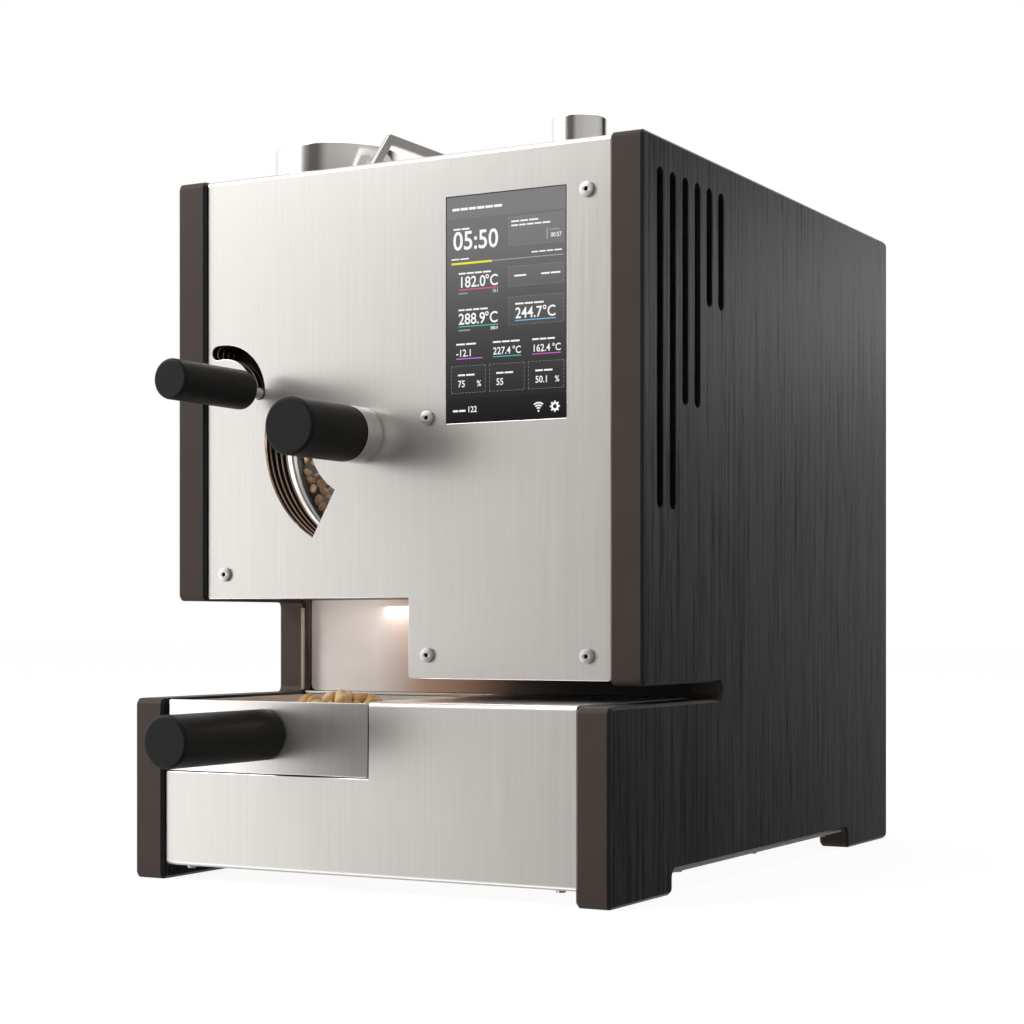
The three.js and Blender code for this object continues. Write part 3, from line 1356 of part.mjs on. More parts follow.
// The rocker turns about its own middle, and its two faces meet at a shallow ridge.
// It rests with its top pressed in.
function rocker(faceY) {
  const [half, deep] = [rockerHeight / 2, rockerDepth / 2];
  const dip = half * Math.tan(radians(rockerTiltDegrees));
  const shape = outline([
    [dip - deep, -half], [deep - dip, -half], [deep, 0], [deep - dip, half], [dip - deep, half], [-deep, 0]]);
  const geometry = extrude(shape, rockerWidth);
  geometry.rotateZ(radians(rockerTiltDegrees));
  geometry.applyMatrix4(yzPlane);
  geometry.translate(inletX - rockerWidth / 2, faceY - deep, switchZ);
  return solid(geometry);
}

function addPowerSupply() {
  const back = inletFront - supplyInletGap;
  place('power_supply', block(
    supplyX - supplyWidth / 2, supplyX + supplyWidth / 2, back - supplyDepth, back,
    baseTop + gap, baseTop + gap + supplyHeight), wireMetal);
}

addSidePlates();
addUpperFrontPanel();
addPanelScrews();
addDisplay();
addHeatShields();
addWindow();
addDrumFrontPlate();
addChargeLever();
addTrier();
addDrum();
addDrumHousing();
addDrumMotor();
addHeater();
addHopper();
addDischarge();
addChaffBox();
addExhaust();
addLowerFrontPanel();
addCoolingTray();
addBayLining();
addCoolingFan();
addCovers();
addRearFittings();
addPowerSupply();

export default roaster;
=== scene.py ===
import math
import random

import bmesh
import bpy
from mathutils import Euler, Matrix, Vector
from mathutils.geometry import tessellate_polygon


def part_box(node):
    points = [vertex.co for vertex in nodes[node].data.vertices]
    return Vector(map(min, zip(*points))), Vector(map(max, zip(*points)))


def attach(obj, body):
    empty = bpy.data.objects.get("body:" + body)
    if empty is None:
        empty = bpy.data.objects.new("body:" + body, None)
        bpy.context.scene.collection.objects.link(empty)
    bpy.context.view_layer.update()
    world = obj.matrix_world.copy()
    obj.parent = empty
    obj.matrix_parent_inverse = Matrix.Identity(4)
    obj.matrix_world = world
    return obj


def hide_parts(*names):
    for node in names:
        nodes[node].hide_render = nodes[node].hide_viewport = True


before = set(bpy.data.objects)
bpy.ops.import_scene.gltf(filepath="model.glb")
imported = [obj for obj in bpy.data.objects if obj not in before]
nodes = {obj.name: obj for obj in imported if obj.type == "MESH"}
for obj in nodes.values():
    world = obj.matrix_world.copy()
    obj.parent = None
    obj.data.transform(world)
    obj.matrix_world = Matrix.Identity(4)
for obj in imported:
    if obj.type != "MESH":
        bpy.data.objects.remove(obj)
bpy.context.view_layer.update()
scene = bpy.context.scene
random.seed(11)

MIDDLE = 185.35

# Side plates: outer face, end of the solid skin and inner face of the rim, from the middle plane
PLATE_OUT, SKIN, PLATE_IN = 165.0, 161.0, 143.5
# Side plates: depth, height, setback of the upper part, height of the lower part, depth of the gap between
DEPTH, HEIGHT, SETBACK, DECK, GAP_DEPTH = 466.0, 441.0, 43.3, 112.2, 156.4
# Top of the gap, on the right and on the left
SLOT_TOP, BAY_TOP = 122.9, 173.1
# Length of each foot and height of the cut-out between them
FOOT, FOOT_RISE = 84.3, 13.8
PLATE_CORNER = 4.2

# Both front sheets: half width, thickness and outer radius of their folds
SHEET_X, SHEET, BEND = 143.2, 2.0, 3.0
# Upper front sheet: front, back and top, and its stepped lower edge
PANEL_Y, PANEL_BACK, PANEL_TOP = 46.3, 48.3, 440.5
STEP_X, LOW_RIGHT, LOW_LEFT = 6.8, 125.4, 174.3
# Lower front sheet: top of its deck, front and bottom
DECK_TOP, LOWER_Y, LOWER_BOTTOM = 112.7, 3.0, 8.9

# Centres as (x, z): the drum with the trier on its axis, the lever's slot, the lever's and the tray's handle
DRUM, LEVER, LEVER_GRIP, TRAY_GRIP = (-28.0, 274.0), (-130.6, 304.0), (-103.4, 304.0), (-67.7, 91.6)
# Centres as (x, y)
HOPPER, PIPE = (-87.2, 110.7), (96.2, 99.0)
LEVER_RADIUS, LEVER_WIDTH, LEVER_TURN = 27.2, 8.9, 100.0
TRIER_HOLE = 13.3
# Window: inner and outer radius, first and last angle
WINDOW = (37.5, 71.0, 174.0, 240.5)
# Left, bottom, right and top
SCREEN = (33.5, 278.6, 114.3, 413.8)
TRAY = (-140.5, 67.8, 5.2, 111.7)

SCREWS = [(128.1, 409.9), (20.4, 282.4), (-129.6, 189.8), (20.4, 139.6), (128.1, 139.6)]
SCREW_FRONT, SCREW_RADIUS, SCREW_HEIGHT = 44.4, 4.4, 1.6
HEXAGON, SOCKET_DEPTH = 1.45, 1.15
# Base screws as (x, y, level of the face that they are screwed into)
BASE_SCREWS = [(side * 155.6, y, 11.9) for side in (1, -1) for y in (111.0, 228.5, 354.0)]
BASE_SCREWS += [(-129.2, 11.0, 8.9), (129.2, 11.0, 8.9)]


def add_object(name, data):
    made = bpy.data.objects.new(name, data)
    scene.collection.objects.link(made)
    return made


def grey(level):
    return (level, level, level)


# Materials
class Nodes:
    """Short ways to add nodes to a tree and link them."""

    def __init__(self, tree):
        self.tree = tree

    def node(self, kind, inputs=None, **settings):
        """A new node. An input that is given a socket is linked, and any other is set."""
        made = self.tree.nodes.new("ShaderNode" + kind)
        for key, value in settings.items():
            setattr(made, key, value)
        for key, value in (inputs or {}).items():
            if isinstance(value, bpy.types.NodeSocket):
                self.tree.links.new(value, made.inputs[key])
            else:
                made.inputs[key].default_value = value
        return made

    def calc(self, kind, *values):
        return self.node("Math", dict(enumerate(values)), operation=kind).outputs[0]

    def ramp(self, value, stops, curve="LINEAR"):
        """A colour ramp. Each stop has a place and a colour, or one level for a grey."""
        made = self.node("ValToRGB", {"Fac": value})
        ramp = made.color_ramp
        ramp.interpolation = curve
        while len(ramp.elements) < len(stops):
            ramp.elements.new(0.5)
        for element, (at, colour) in zip(ramp.elements, stops):
            element.position = at
            element.color = (*(colour if isinstance(colour, tuple) else grey(colour)), 1.0)
        return made.outputs["Color"]

    def mix(self, factor, first, second, blend="MIX"):
        """Two colours mixed. Several sockets of this node share a name, so they are taken by number."""
        inputs = {0: factor}
        for index, value in ((6, first), (7, second)):
            inputs[index] = (*value, 1.0) if isinstance(value, tuple) else value
        return self.node("Mix", inputs, data_type="RGBA", blend_type=blend).outputs[2]


class Finish(Nodes):
    """A node material with a Principled shader and short ways to feed it."""

    def __init__(self, name, **values):
        self.material = bpy.data.materials.new(name)
        self.material.use_nodes = True
        super().__init__(self.material.node_tree)
        self.shader = self.tree.nodes["Principled BSDF"]
        self.place = self.node("TexCoord").outputs["Object"]
        for key, value in values.items():
            self.shader.inputs[key.replace("_", " ")].default_value = value

    def feed(self, socket, value):
        self.tree.links.new(value, self.shader.inputs[socket])

    def colour(self, value, stops):
        self.feed("Base Color", self.ramp(value, stops))

    def rough(self, value, low, high):
        self.feed("Roughness", self.remap(value, low, high))

    def noise(self, scale, detail=3.0, rough=0.55):
        """Cloudy values near 0.5. The scale is one number, or one for each axis."""
        scale = scale if isinstance(scale, tuple) else grey(scale)
        spread = self.node("Mapping", {"Vector": self.place, "Scale": scale})
        return self.node("TexNoise", {"Vector": spread.outputs["Vector"], "Scale": 1.0,
                                                "Detail": detail, "Roughness": rough}).outputs["Fac"]

    def along(self, axis):
        """The object coordinate along one axis, in metres."""
        return self.node("SeparateXYZ", {"Vector": self.place}).outputs[axis]

    def remap(self, value, low, high, start=0.3, end=0.7):
        """The value's span from start to end, stretched to low to high."""
        return self.node("MapRange", {"Value": value, "From Min": start, "From Max": end,
                                                "To Min": low, "To Max": high}).outputs["Result"]

    def bump(self, height, strength, distance):
        made = self.node("Bump", {"Height": height, "Strength": strength, "Distance": distance})
        self.feed("Normal", made.outputs["Normal"])


def brushed(name, dark, light, rough, aniso, across="x", streak=0.5, metallic=1.0, fine=1900, along=7):
    """A surface with fine brush lines, which lie side by side along the axis across."""
    finish = Finish(name, Metallic=metallic, Anisotropic=aniso)
    scale = tuple(fine if axis == across else along for axis in "xyz")
    lines = finish.noise(scale, 4.0, 0.6)
    bands = finish.noise(tuple(v * 0.28 for v in scale), 3.0, 0.5)
    both = finish.mix(0.45, lines, bands)
    finish.colour(both, [(0.5 - streak / 2, dark), (0.5 + streak / 2, light)])
    finish.rough(both, *rough)
    if metallic == 0:
        finish.feed("Specular IOR Level", finish.remap(both, 0.04, 1.06, 0.36, 0.66))
    if aniso:
        tangent = finish.node("Tangent", direction_type="RADIAL", axis="Z").outputs["Tangent"]
        finish.feed("Tangent", tangent)
    finish.bump(lines, 0.12, 0.00004)
    return finish.material


def satin(name, dark, light, rough, grain=900.0, bump=0.05, metallic=0.0, **values):
    """An even fine-grained surface, with faint clouds in its colour and roughness."""
    finish = Finish(name, Metallic=metallic, **values)
    clouds = finish.noise(38, 4.0)
    grains = finish.noise(grain, 2.0)
    finish.colour(finish.mix(0.4, clouds, grains), [(0.3, dark), (0.7, light)])
    finish.rough(clouds, *rough)
    finish.bump(grains, bump, 0.0001)
    return finish.material


def turned_steel(name, tone, rough, axis="z"):
    """Metal turned on a lathe: its fine lines run round the piece."""
    return brushed(name, tuple(v * 0.93 for v in tone), tone, rough, 0.0, axis, 0.6)


STEEL = brushed("brushed_steel", (0.735, 0.702, 0.667), (0.82, 0.784, 0.745), (0.285, 0.342), 0.5,
                metallic=0.85, along=26)
STEEL_EDGE = satin("steel_cut_edge", (0.72, 0.70, 0.68), (0.80, 0.79, 0.77), (0.2, 0.3), metallic=1.0)
SHELL = brushed("inner_sheet", (0.48, 0.47, 0.46), (0.60, 0.59, 0.58), (0.35, 0.5), 0.3)
POLISHED = turned_steel("polished_steel", (0.84, 0.825, 0.80), (0.10, 0.17))
COLLAR = turned_steel("collar_steel", grey(0.66), (0.24, 0.30), "y")
PLATED = satin("plated_steel", (0.58, 0.575, 0.56), (0.70, 0.69, 0.68), (0.25, 0.35), metallic=1.0)
ANODISED = brushed("anodised_face", grey(0.005), grey(0.018), (0.22, 0.36), 0.0, across="y", metallic=0.0,
                   streak=0.36, fine=1300, along=26)
ANODISED_EDGE = satin("anodised_edge", (0.067, 0.050, 0.0415), (0.075, 0.0565, 0.047), (0.42, 0.5), 1500.0,
                      0.03, Specular_IOR_Level=0.16)
ANODISED_BEVEL = satin("anodised_bevel", (0.005, 0.005, 0.0055), (0.008, 0.008, 0.0085), (0.3, 0.36), 1500.0,
                       0.02, Specular_IOR_Level=0.35)
GRIP = satin("grip_black", grey(0.0045), grey(0.0065), (0.42, 0.5), 2600.0, 0.1, Specular_IOR_Level=0.19)
PLASTIC = satin("moulded_black", (0.014, 0.014, 0.015), (0.02, 0.02, 0.021), (0.45, 0.55), 1800.0, 0.1)
ENAMEL = satin("shield_black", (0.004, 0.0035, 0.003), (0.008, 0.006, 0.005), (0.5, 0.65))
# Shield cut edges: their copper-brown colour is painted warm lamp light.
LAMPLIT_EDGE = satin("shield_cut_edge", (0.42, 0.27, 0.19), (0.62, 0.43, 0.32), (0.3, 0.42), metallic=1.0)
CAST = satin("cast_alloy", (0.34, 0.33, 0.315), (0.44, 0.43, 0.41), (0.5, 0.62), 620.0, 0.35, 0.85)
DRUM_STEEL = satin("drum_steel", (0.085, 0.088, 0.095), (0.13, 0.132, 0.14), (0.4, 0.55), 500.0, 0.1, 0.9)
BOARD = satin("circuit_board", (0.008, 0.055, 0.03), (0.012, 0.075, 0.04), (0.35, 0.45), 1400.0, 0.15)
CERAMIC = satin("ceramic", (0.56, 0.52, 0.45), (0.66, 0.62, 0.55), (0.7, 0.85), 700.0, 0.25)
SOFFIT = satin("bay_soffit", (0.05, 0.033, 0.022), (0.07, 0.047, 0.031), (0.4, 0.5), metallic=0.3)
SCREW = satin("screw_steel", (0.55, 0.53, 0.51), (0.64, 0.62, 0.60), (0.34, 0.42), 1200.0, 0.04, 1.0)
# The bay's edge strip: its brown tint is painted warm lamp light.
LAMPLIT_TRIM = satin("bay_trim_sheet", (0.27, 0.215, 0.17), (0.36, 0.29, 0.235), (0.35, 0.5), metallic=0.8)
SOCKET = satin("socket_shadow", grey(0.006), grey(0.012), (0.5, 0.6), metallic=0.5)
SHEET_FINISH = [STEEL, STEEL_EDGE, STEEL_EDGE]


def wall_finish():
    """The bay's back wall: pale satin steel behind the tray, with painted shade that fades through the warm
    brown of painted lamp light to near black behind the narrow gap on the right.
    """
    finish = Finish("bay_wall_steel", Metallic=0.3)
    clouds = finish.noise(38, 4.0)
    steel = finish.ramp(clouds, [(0.3, (0.80, 0.75, 0.74)), (0.7, (0.85, 0.80, 0.79))])
    across = finish.remap(finish.along("X"), 0.0, 1.0, -0.09, 0.06)
    # Painted shade and painted warm light: the wall darkens towards the right, through warm brown to near
    # black.
    painted_shade = finish.ramp(across, [(0.0, 1.0), (0.25, (0.60, 0.42, 0.33)), (0.42, (0.40, 0.27, 0.20)),
                                (0.6, (0.16, 0.095, 0.065)), (0.76, (0.04, 0.026, 0.02)),
                                (1.0, (0.006, 0.004, 0.003))])
    finish.feed("Base Color", finish.mix(1.0, steel, painted_shade, "MULTIPLY"))
    finish.rough(clouds, 0.42, 0.5)
    return finish.material


def ring_finish():
    """The bright ring of the window, with a faint painted glow of its own, a painted highlight from the
    drum's lamp.
    """
    finish = Finish("window_ring_steel", Metallic=0.3, Emission_Color=(0.93, 0.95, 1.0, 1))
    clouds = finish.noise(60)
    finish.colour(clouds, [(0.3, (0.80, 0.80, 0.82)), (0.7, (0.88, 0.88, 0.90))])
    finish.rough(clouds, 0.2, 0.3)
    # Painted highlight: the ring's faint glow of its own.
    finish.feed("Emission Strength", finish.remap(clouds, 0.45, 0.6))
    return finish.material


def glass_finish():
    """Clear glass with faint smears in its roughness."""
    finish = Finish("clear_glass", Base_Color=(0.93, 0.95, 0.97, 1), IOR=1.45, Transmission_Weight=1.0)
    finish.rough(finish.noise(60), 0.02, 0.07)
    return finish.material


def bean_finish(name, dark, middle, light):
    """Roasted coffee: tan skin with painted shade that darkens it in its wrinkles, each bean a little
    different.
    """
    finish = Finish(name, Specular_IOR_Level=0.35)
    wrinkles = finish.noise(420, 5.0, 0.65)
    island = finish.node("NewGeometry").outputs["Random Per Island"]
    # Painted shade in the low parts of the wrinkles, mixed with each bean's own tone.
    shade_and_tone = finish.mix(0.42, wrinkles, island)
    finish.colour(shade_and_tone, [(0.22, dark), (0.5, middle), (0.75, light)])
    finish.rough(wrinkles, 0.42, 0.62)
    finish.bump(wrinkles, 0.55, 0.0005)
    return finish.material


def glow_finish(name, colour):
    """A lit part of the display, with the display's own fine dot grid in its brightness."""
    finish = Finish(name, Base_Color=(*grey(0.01), 1), Roughness=0.3, Emission_Color=(*colour, 1))
    dots = finish.node("TexVoronoi", {"Vector": finish.place, "Scale": 5200.0})
    finish.feed("Emission Strength", finish.remap(dots.outputs["Distance"], 1.04, 0.92, 0.0, 1.0))
    return finish.material


def screen_finish(name, gain=1.0):
    """The display's glass and its cards: grey at the top, fading to near black at the foot."""
    finish = Finish(name, Base_Color=(0.006, 0.006, 0.0065, 1), Specular_IOR_Level=0.12,
                    Emission_Strength=gain)
    rise = finish.remap(finish.along("Z"), 0.0, 1.0, SCREEN[1] / 1000, SCREEN[3] / 1000)
    finish.feed("Emission Color", finish.ramp(rise, [(0.0, 0.009), (0.2, 0.034), (0.4, 0.068),
                                                     (0.58, 0.118), (0.75, 0.165), (0.92, 0.188)]))
    finish.rough(finish.noise(90), 0.08, 0.16)
    return finish.material


WALL = wall_finish()
RING = ring_finish()
GLASS = glass_finish()
SCREEN_GLASS = screen_finish("screen_glass")
TRAY_BEANS = bean_finish("tray_bean_skin", (0.42, 0.20, 0.065), (0.78, 0.49, 0.21), (0.95, 0.74, 0.42))
DRUM_BEANS = bean_finish("drum_bean_skin", (0.26, 0.125, 0.055), (0.56, 0.34, 0.18), (0.78, 0.55, 0.35))


# Outlines, as lists of 2-D points
def corner_arc(before, here, after, radius, limit, steps):
    """A true arc at a corner, and how far it reaches: at most 1/limit of each side."""
    back, ahead = before - here, after - here
    half = back.angle(ahead) / 2
    reach = min(radius / math.tan(half), back.length / limit, ahead.length / limit)
    middle = here + (back.normalized() + ahead.normalized()).normalized() * reach / math.cos(half)
    first = here + back.normalized() * reach - middle
    last = here + ahead.normalized() * reach - middle
    turn = math.atan2(first.x * last.y - first.y * last.x, first.dot(last))
    return reach, [middle + Matrix.Rotation(turn * k / steps, 2) @ first for k in range(steps + 1)]


def rounded(corners, radius, steps=8):
    """The given corners, counter-clockwise, each rounded. The radius is one number or one for each."""
    count = len(corners)
    radii = radius if isinstance(radius, list) else [radius] * count
    spots = [Vector(corner) for corner in corners]
    points = []
    for i, r in enumerate(radii):
        if r > 0:
            points += corner_arc(spots[i - 1], spots[i], spots[(i + 1) % count], r, 2, steps)[1]
        else:
            points.append(spots[i])
    return points


def box_outline(left, bottom, right, top, radius, steps=8):
    return rounded([(left, bottom), (right, bottom), (right, top), (left, top)], radius, steps)


def arc(x, y, radius, start, end, steps):
    """Points on an arc. The angles are degrees."""
    angles = [math.radians(start + (end - start) * k / steps) for k in range(steps + 1)]
    return [Vector((x + radius * math.cos(a), y + radius * math.sin(a))) for a in angles]


def circle(x, y, radius, steps):
    return arc(x, y, radius, 0, 360, steps)[:-1]


def lever_slot():
    """The curved slot that the lever's stem runs in, with round ends."""
    x, z = LEVER
    half = LEVER_WIDTH / 2
    end = math.radians(LEVER_TURN)
    return (arc(x, z, LEVER_RADIUS + half, 0, LEVER_TURN, 36)
            + arc(x + LEVER_RADIUS * math.cos(end), z + LEVER_RADIUS * math.sin(end), half,
                  LEVER_TURN, LEVER_TURN + 180, 16)[1:-1]
            + arc(x, z, LEVER_RADIUS - half, LEVER_TURN, 0, 36)
            + arc(x + LEVER_RADIUS, z, half, 180, 360, 16)[1:-1])


def window_sector(border=0.0):
    """The window's ring sector, grown by the border."""
    inner, outer, start, end = WINDOW
    turn = math.degrees(border / outer)
    return (arc(*DRUM, outer + border, start - turn, end + turn, 48)
            + arc(*DRUM, inner - border, end + turn, start - turn, 36))


def offset(points, distance, keep=None):
    """Every edge moved inward by the distance, except those that keep() names."""
    moved = []
    count = len(points)
    for i, here in enumerate(points):
        before, after = points[i - 1], points[(i + 1) % count]
        n1, n2 = ((b - a).normalized().orthogonal() for a, b in ((before, here), (here, after)))
        d1 = 0.0 if keep and keep(before, here) else distance
        d2 = 0.0 if keep and keep(here, after) else distance
        c = n1.dot(n2)
        if 1 - c * c < 1e-5:
            moved.append(here + n1 * (d1 + d2) / 2)
        else:
            moved.append(here + n1 * (d1 - c * d2) / (1 - c * c) + n2 * (d2 - c * d1) / (1 - c * c))
    return moved


# A plane says which of an outline's two coordinates and the level (0, 1 and 2) become X, Y and Z
ON_XZ, ON_YZ, ON_XY = (0, 2, 1), (2, 0, 1), (0, 1, 2)


# Solids
def cap(bm, loops, index):
    """A flat end between an outer loop and its holes, from triangles."""
    flat = [v for loop in loops for v in loop]
    for tri in tessellate_polygon([[v.co for v in loop] for loop in loops]):
        try:
            bm.faces.new([flat[i] for i in tri]).material_index = index
        except ValueError:
            # A sliver that uses one corner twice isn't needed
            pass


def join(bm, a, b, index=0):
    """The faces between two rings of points. A ring of one point makes triangles."""
    count = max(len(a), len(b))
    for i in range(count):
        j = (i + 1) % count
        corners = dict.fromkeys([a[i % len(a)], a[j % len(a)], b[j % len(b)], b[i % len(b)]])
        if len(corners) > 2:
            bm.faces.new(list(corners)).material_index = index


def slab(bm, outer, start, end, plane, bevel, steps=2, holes=(), hole_bevel=(0, 0), caps=(True, True),
         keep=None, side=1, edge=2, face=0, hole_side=None):
    """A plate between two levels with rounded edges. A bevel is (size at the start, size at the end).

    The last four are the material numbers of the side walls, bevels, flat faces and walls of holes.
    """
    sign = 1 if end > start else -1

    def rounding(size, level, way):
        """The inset and the level of each ring of one rounded edge."""
        turns = [k / steps * math.pi / 2 for k in range(steps + 1 if size else 1)]
        return [(size * (1 - math.sin(t)), level + way * size * (1 - math.cos(t))) for t in turns]

    ends = [[], []]
    for index, loop in enumerate([outer, *holes]):
        size = hole_bevel if index else bevel
        wall = hole_side if index and hole_side is not None else side
        rings = []
        for inset, level in rounding(size[0], start, sign) + rounding(size[1], end, -sign)[::-1]:
            shape = offset(loop, -inset if index else inset, None if index else keep)
            rings.append([bm.verts.new([(*p, level)[i] for i in plane]) for p in shape])
        for k, (a, b) in enumerate(zip(rings, rings[1:])):
            join(bm, a, b, wall if k == (steps if size[0] else 0) else edge)
        ends[0].append(rings[0])
        ends[1].append(rings[-1])
    for wanted, loops in zip(caps, ends):
        if wanted:
            cap(bm, loops, face)


def lathe(bm, profile, axis, centre, segments, lean=None):
    """A turned solid along y or z from a list of (radius, height). lean() moves each of its points."""
    rings = []
    for radius, height in profile:
        ring = []
        for i in range(1 if radius < 1e-6 else segments):
            a = 2 * math.pi * i / segments
            u, v = centre[0] + radius * math.cos(a), centre[1] + radius * math.sin(a)
            at = Vector((u, height, v)) if axis == "y" else Vector((u, v, height))
            ring.append(bm.verts.new(lean(at) if lean else at))
        rings.append(ring)
    for a, b in zip(rings, rings[1:]):
        join(bm, a, b)


def soften(profile, radius, steps=6):
    """The corners of a lathe profile rounded, but not its ends. Beside each arc the wall stays flat."""
    flat = 0.12
    points = [Vector(p) for p in profile]
    out = points[:1]
    for before, here, after in zip(points, points[1:], points[2:]):
        reach, bend = corner_arc(before, here, after, radius, 2.01, steps)
        back, ahead = before - here, after - here
        if back.length - reach > 3 * flat:
            out.append(here + back.normalized() * (reach + flat))
        out += bend
        if ahead.length - reach > 3 * flat:
            out.append(here + ahead.normalized() * (reach + flat))
    return out + points[-1:]


def rod(radius, front, back):
    """The profile of a plain round rod."""
    return [(0, front), (radius, front), (radius, back), (0, back)]


def fold(y, z, tip, up=1):
    """A folded edge in Y and Z, which bends back at the height z, up or down, and ends at the depth tip."""
    turn = 180 - 90 * up
    level = z + up * BEND
    return (arc(y + BEND, z, BEND, 180, turn, 8) + [Vector((tip, level)), Vector((tip, level - up * SHEET))]
            + arc(y + BEND, z, BEND - SHEET, turn, 180, 8))


def strip(bm, profile, start, end):
    """A closed profile in Y and Z drawn along X, with flat ends."""
    ends = [[bm.verts.new((level, *p)) for p in profile] for level in (start, end)]
    join(bm, *ends)
    for loop in ends:
        cap(bm, [loop], 0)


def finish(bm, name, materials, slot=None, angle=18, body="root", node=None, weld=True):
    """Makes a piece in metres that rides a body. The angle is where its shading turns sharp."""
    if weld:
        bmesh.ops.remove_doubles(bm, verts=bm.verts, dist=0.003)
        bmesh.ops.recalc_face_normals(bm, faces=bm.faces)
    for v in bm.verts:
        v.co = Vector((v.co.x, v.co.y - MIDDLE, v.co.z)) * 0.001
    mesh = bpy.data.meshes.new(name)
    bm.to_mesh(mesh)
    bm.free()
    for material in materials:
        mesh.materials.append(material)
    mesh.shade_smooth()
    mesh.set_sharp_from_angle(angle=math.radians(angle))
    piece = add_object(name, mesh)
    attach(piece, body)
    if node:
        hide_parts(node)


def plate(name, materials, slot, outline, start, end, plane, bevel, steps=2, body="root", node=None, **more):
    """A piece that is one slab."""
    bm = bmesh.new()
    slab(bm, outline, start, end, plane, bevel, steps, **more)
    finish(bm, name, materials, slot, body=body, node=node)


def turned(name, material, slot, profile, axis, centre, segments, angle=18, body="root", node=None,
           lean=None):
    """A piece that is one turned solid."""
    bm = bmesh.new()
    lathe(bm, profile, axis, centre, segments, lean)
    finish(bm, name, [material], slot, angle, body, node)


def node_depth(node):
    """Where a CAD node starts and ends along Y, in the building frame."""
    low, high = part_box(node)
    return low.y * 1000 + MIDDLE, high.y * 1000 + MIDDLE


# Side plates
def plate_outline(gap_top):
    return rounded([
        (0, 0), (FOOT, 0), (FOOT, FOOT_RISE), (DEPTH - FOOT, FOOT_RISE), (DEPTH - FOOT, 0), (DEPTH, 0),
        (DEPTH, HEIGHT), (SETBACK, HEIGHT), (SETBACK, gap_top), (GAP_DEPTH, gap_top), (GAP_DEPTH, DECK),
        (0, DECK)], PLATE_CORNER)


def pocket_outline(gap_top):
    """The recess in a plate's inner face, which leaves a rim."""
    rim = 13.0
    return rounded([
        (rim, FOOT_RISE + rim), (DEPTH - rim, FOOT_RISE + rim), (DEPTH - rim, HEIGHT - rim),
        (SETBACK + rim, HEIGHT - rim), (SETBACK + rim, gap_top + rim), (GAP_DEPTH + rim, gap_top + rim),
        (GAP_DEPTH + rim, DECK - rim), (rim, DECK - rim)], PLATE_CORNER)


def vents():
    """Six slots in pairs: each pair ends one step higher than the pair before it."""
    first, pitch, half, top = 66.5, 17.8, 4.1, 422.8
    lowest, step = 225.6, 62.7
    holes = []
    for i in range(6):
        y = first + pitch * i
        holes.append(box_outline(y - half, lowest + step * (i // 2), y + half, top, half, 10))
    return holes


def side_plate(name, node, way, gap_top, holes):
    bm = bmesh.new()
    outline = plate_outline(gap_top)
    # The vents' walls take the black face finish instead of the edge finish: painted shade.
    slab(bm, outline, way * PLATE_OUT, way * SKIN, ON_YZ, (1.7, 0), 1, holes, (0.35, 0), hole_side=0)
    slab(bm, outline, way * SKIN, way * PLATE_IN, ON_YZ, (0, 1.7), 1, [pocket_outline(gap_top)], (0, 0.3),
         caps=(False, True))
    finish(bm, name, [ANODISED, ANODISED_EDGE, ANODISED_BEVEL], "black_anodised", node=node)


side_plate("side_plate_right", "right_side_plate", 1, SLOT_TOP, vents())
side_plate("side_plate_left", "left_side_plate", -1, BAY_TOP, [])


# Upper front sheet and its screws
def upper_front():
    bm = bmesh.new()
    bend_z = PANEL_TOP - BEND
    outer = rounded([(STEP_X, LOW_RIGHT), (SHEET_X, LOW_RIGHT), (SHEET_X, bend_z), (-SHEET_X, bend_z),
                     (-SHEET_X, LOW_LEFT), (STEP_X, LOW_LEFT)], [2, 2, 0, 0, 2, 0.4])
    left, bottom, right, top = SCREEN
    gap = 0.3
    holes = [lever_slot(), window_sector(), circle(*DRUM, TRIER_HOLE, 72),
             box_outline(left - gap, bottom - gap, right + gap, top + gap, 0.5, 4)]
    slab(bm, outer, PANEL_Y, PANEL_BACK, ON_XZ, (0.3, 0.3), 2, holes, (0.22, 0.22),
         keep=lambda a, b: abs(a.y - bend_z) < 0.01 and abs(b.y - bend_z) < 0.01)
    strip(bm, fold(PANEL_Y, bend_z, PANEL_Y + 13.5), -SHEET_X, SHEET_X)
    finish(bm, "front_panel_upper", SHEET_FINISH, "panel_steel", node="upper_front_panel")


def front_screw(number, x, z):
    """A socket screw with a rounded head, a hexagon socket and a short shank behind it."""
    bm = bmesh.new()
    back = SCREW_FRONT + SCREW_HEIGHT
    hexagon = arc(x, z, HEXAGON, 15, 375, 6)[:-1]
    slab(bm, circle(x, z, SCREW_RADIUS, 48), SCREW_FRONT, back, ON_XZ, (0.3, 0), 3, [hexagon], (0.1, 0),
         caps=(True, False), side=0, edge=0)
    slab(bm, hexagon, SCREW_FRONT + SOCKET_DEPTH, back, ON_XZ, (0, 0), 1, side=1, face=1)
    shank, length = 2.0, 5
    lathe(bm, [(SCREW_RADIUS, back), *rod(shank, back, back + length)[1:]], "y", (x, z), 24)
    finish(bm, f"front_screw_{number}", [SCREW, SOCKET], "plated_steel", 28, node=f"panel_screw_{number}")


upper_front()
for screw_number, place in enumerate(SCREWS, 1):
    front_screw(screw_number, *place)


# Heat shields and window
def heat_shield(number):
    """One of the four sheets behind the front, which show through the slot and the window."""
    pitch, thick = 5.7, 1.5
    front = PANEL_Y + pitch * number
    foot, shelf, notch, top = 186, 237, 290, 363
    outer = rounded([(-SHEET_X, foot), (-38, foot), (-38, shelf), (26, shelf), (26, top), (-56, top),
                     (-56, notch), (-102, notch), (-102, top), (-SHEET_X, top)], 2, 4)
    plate(f"shield_{number}", [ENAMEL, LAMPLIT_EDGE, LAMPLIT_EDGE], "shield_enamel", outer, front, front + thick, ON_XZ,
          (0.15, 0.15), 1, node=f"heat_shield_{number}", hole_bevel=(0.38, 0.1), side=0,
          holes=[lever_slot(), window_sector(), circle(*DRUM, TRIER_HOLE, 48)])


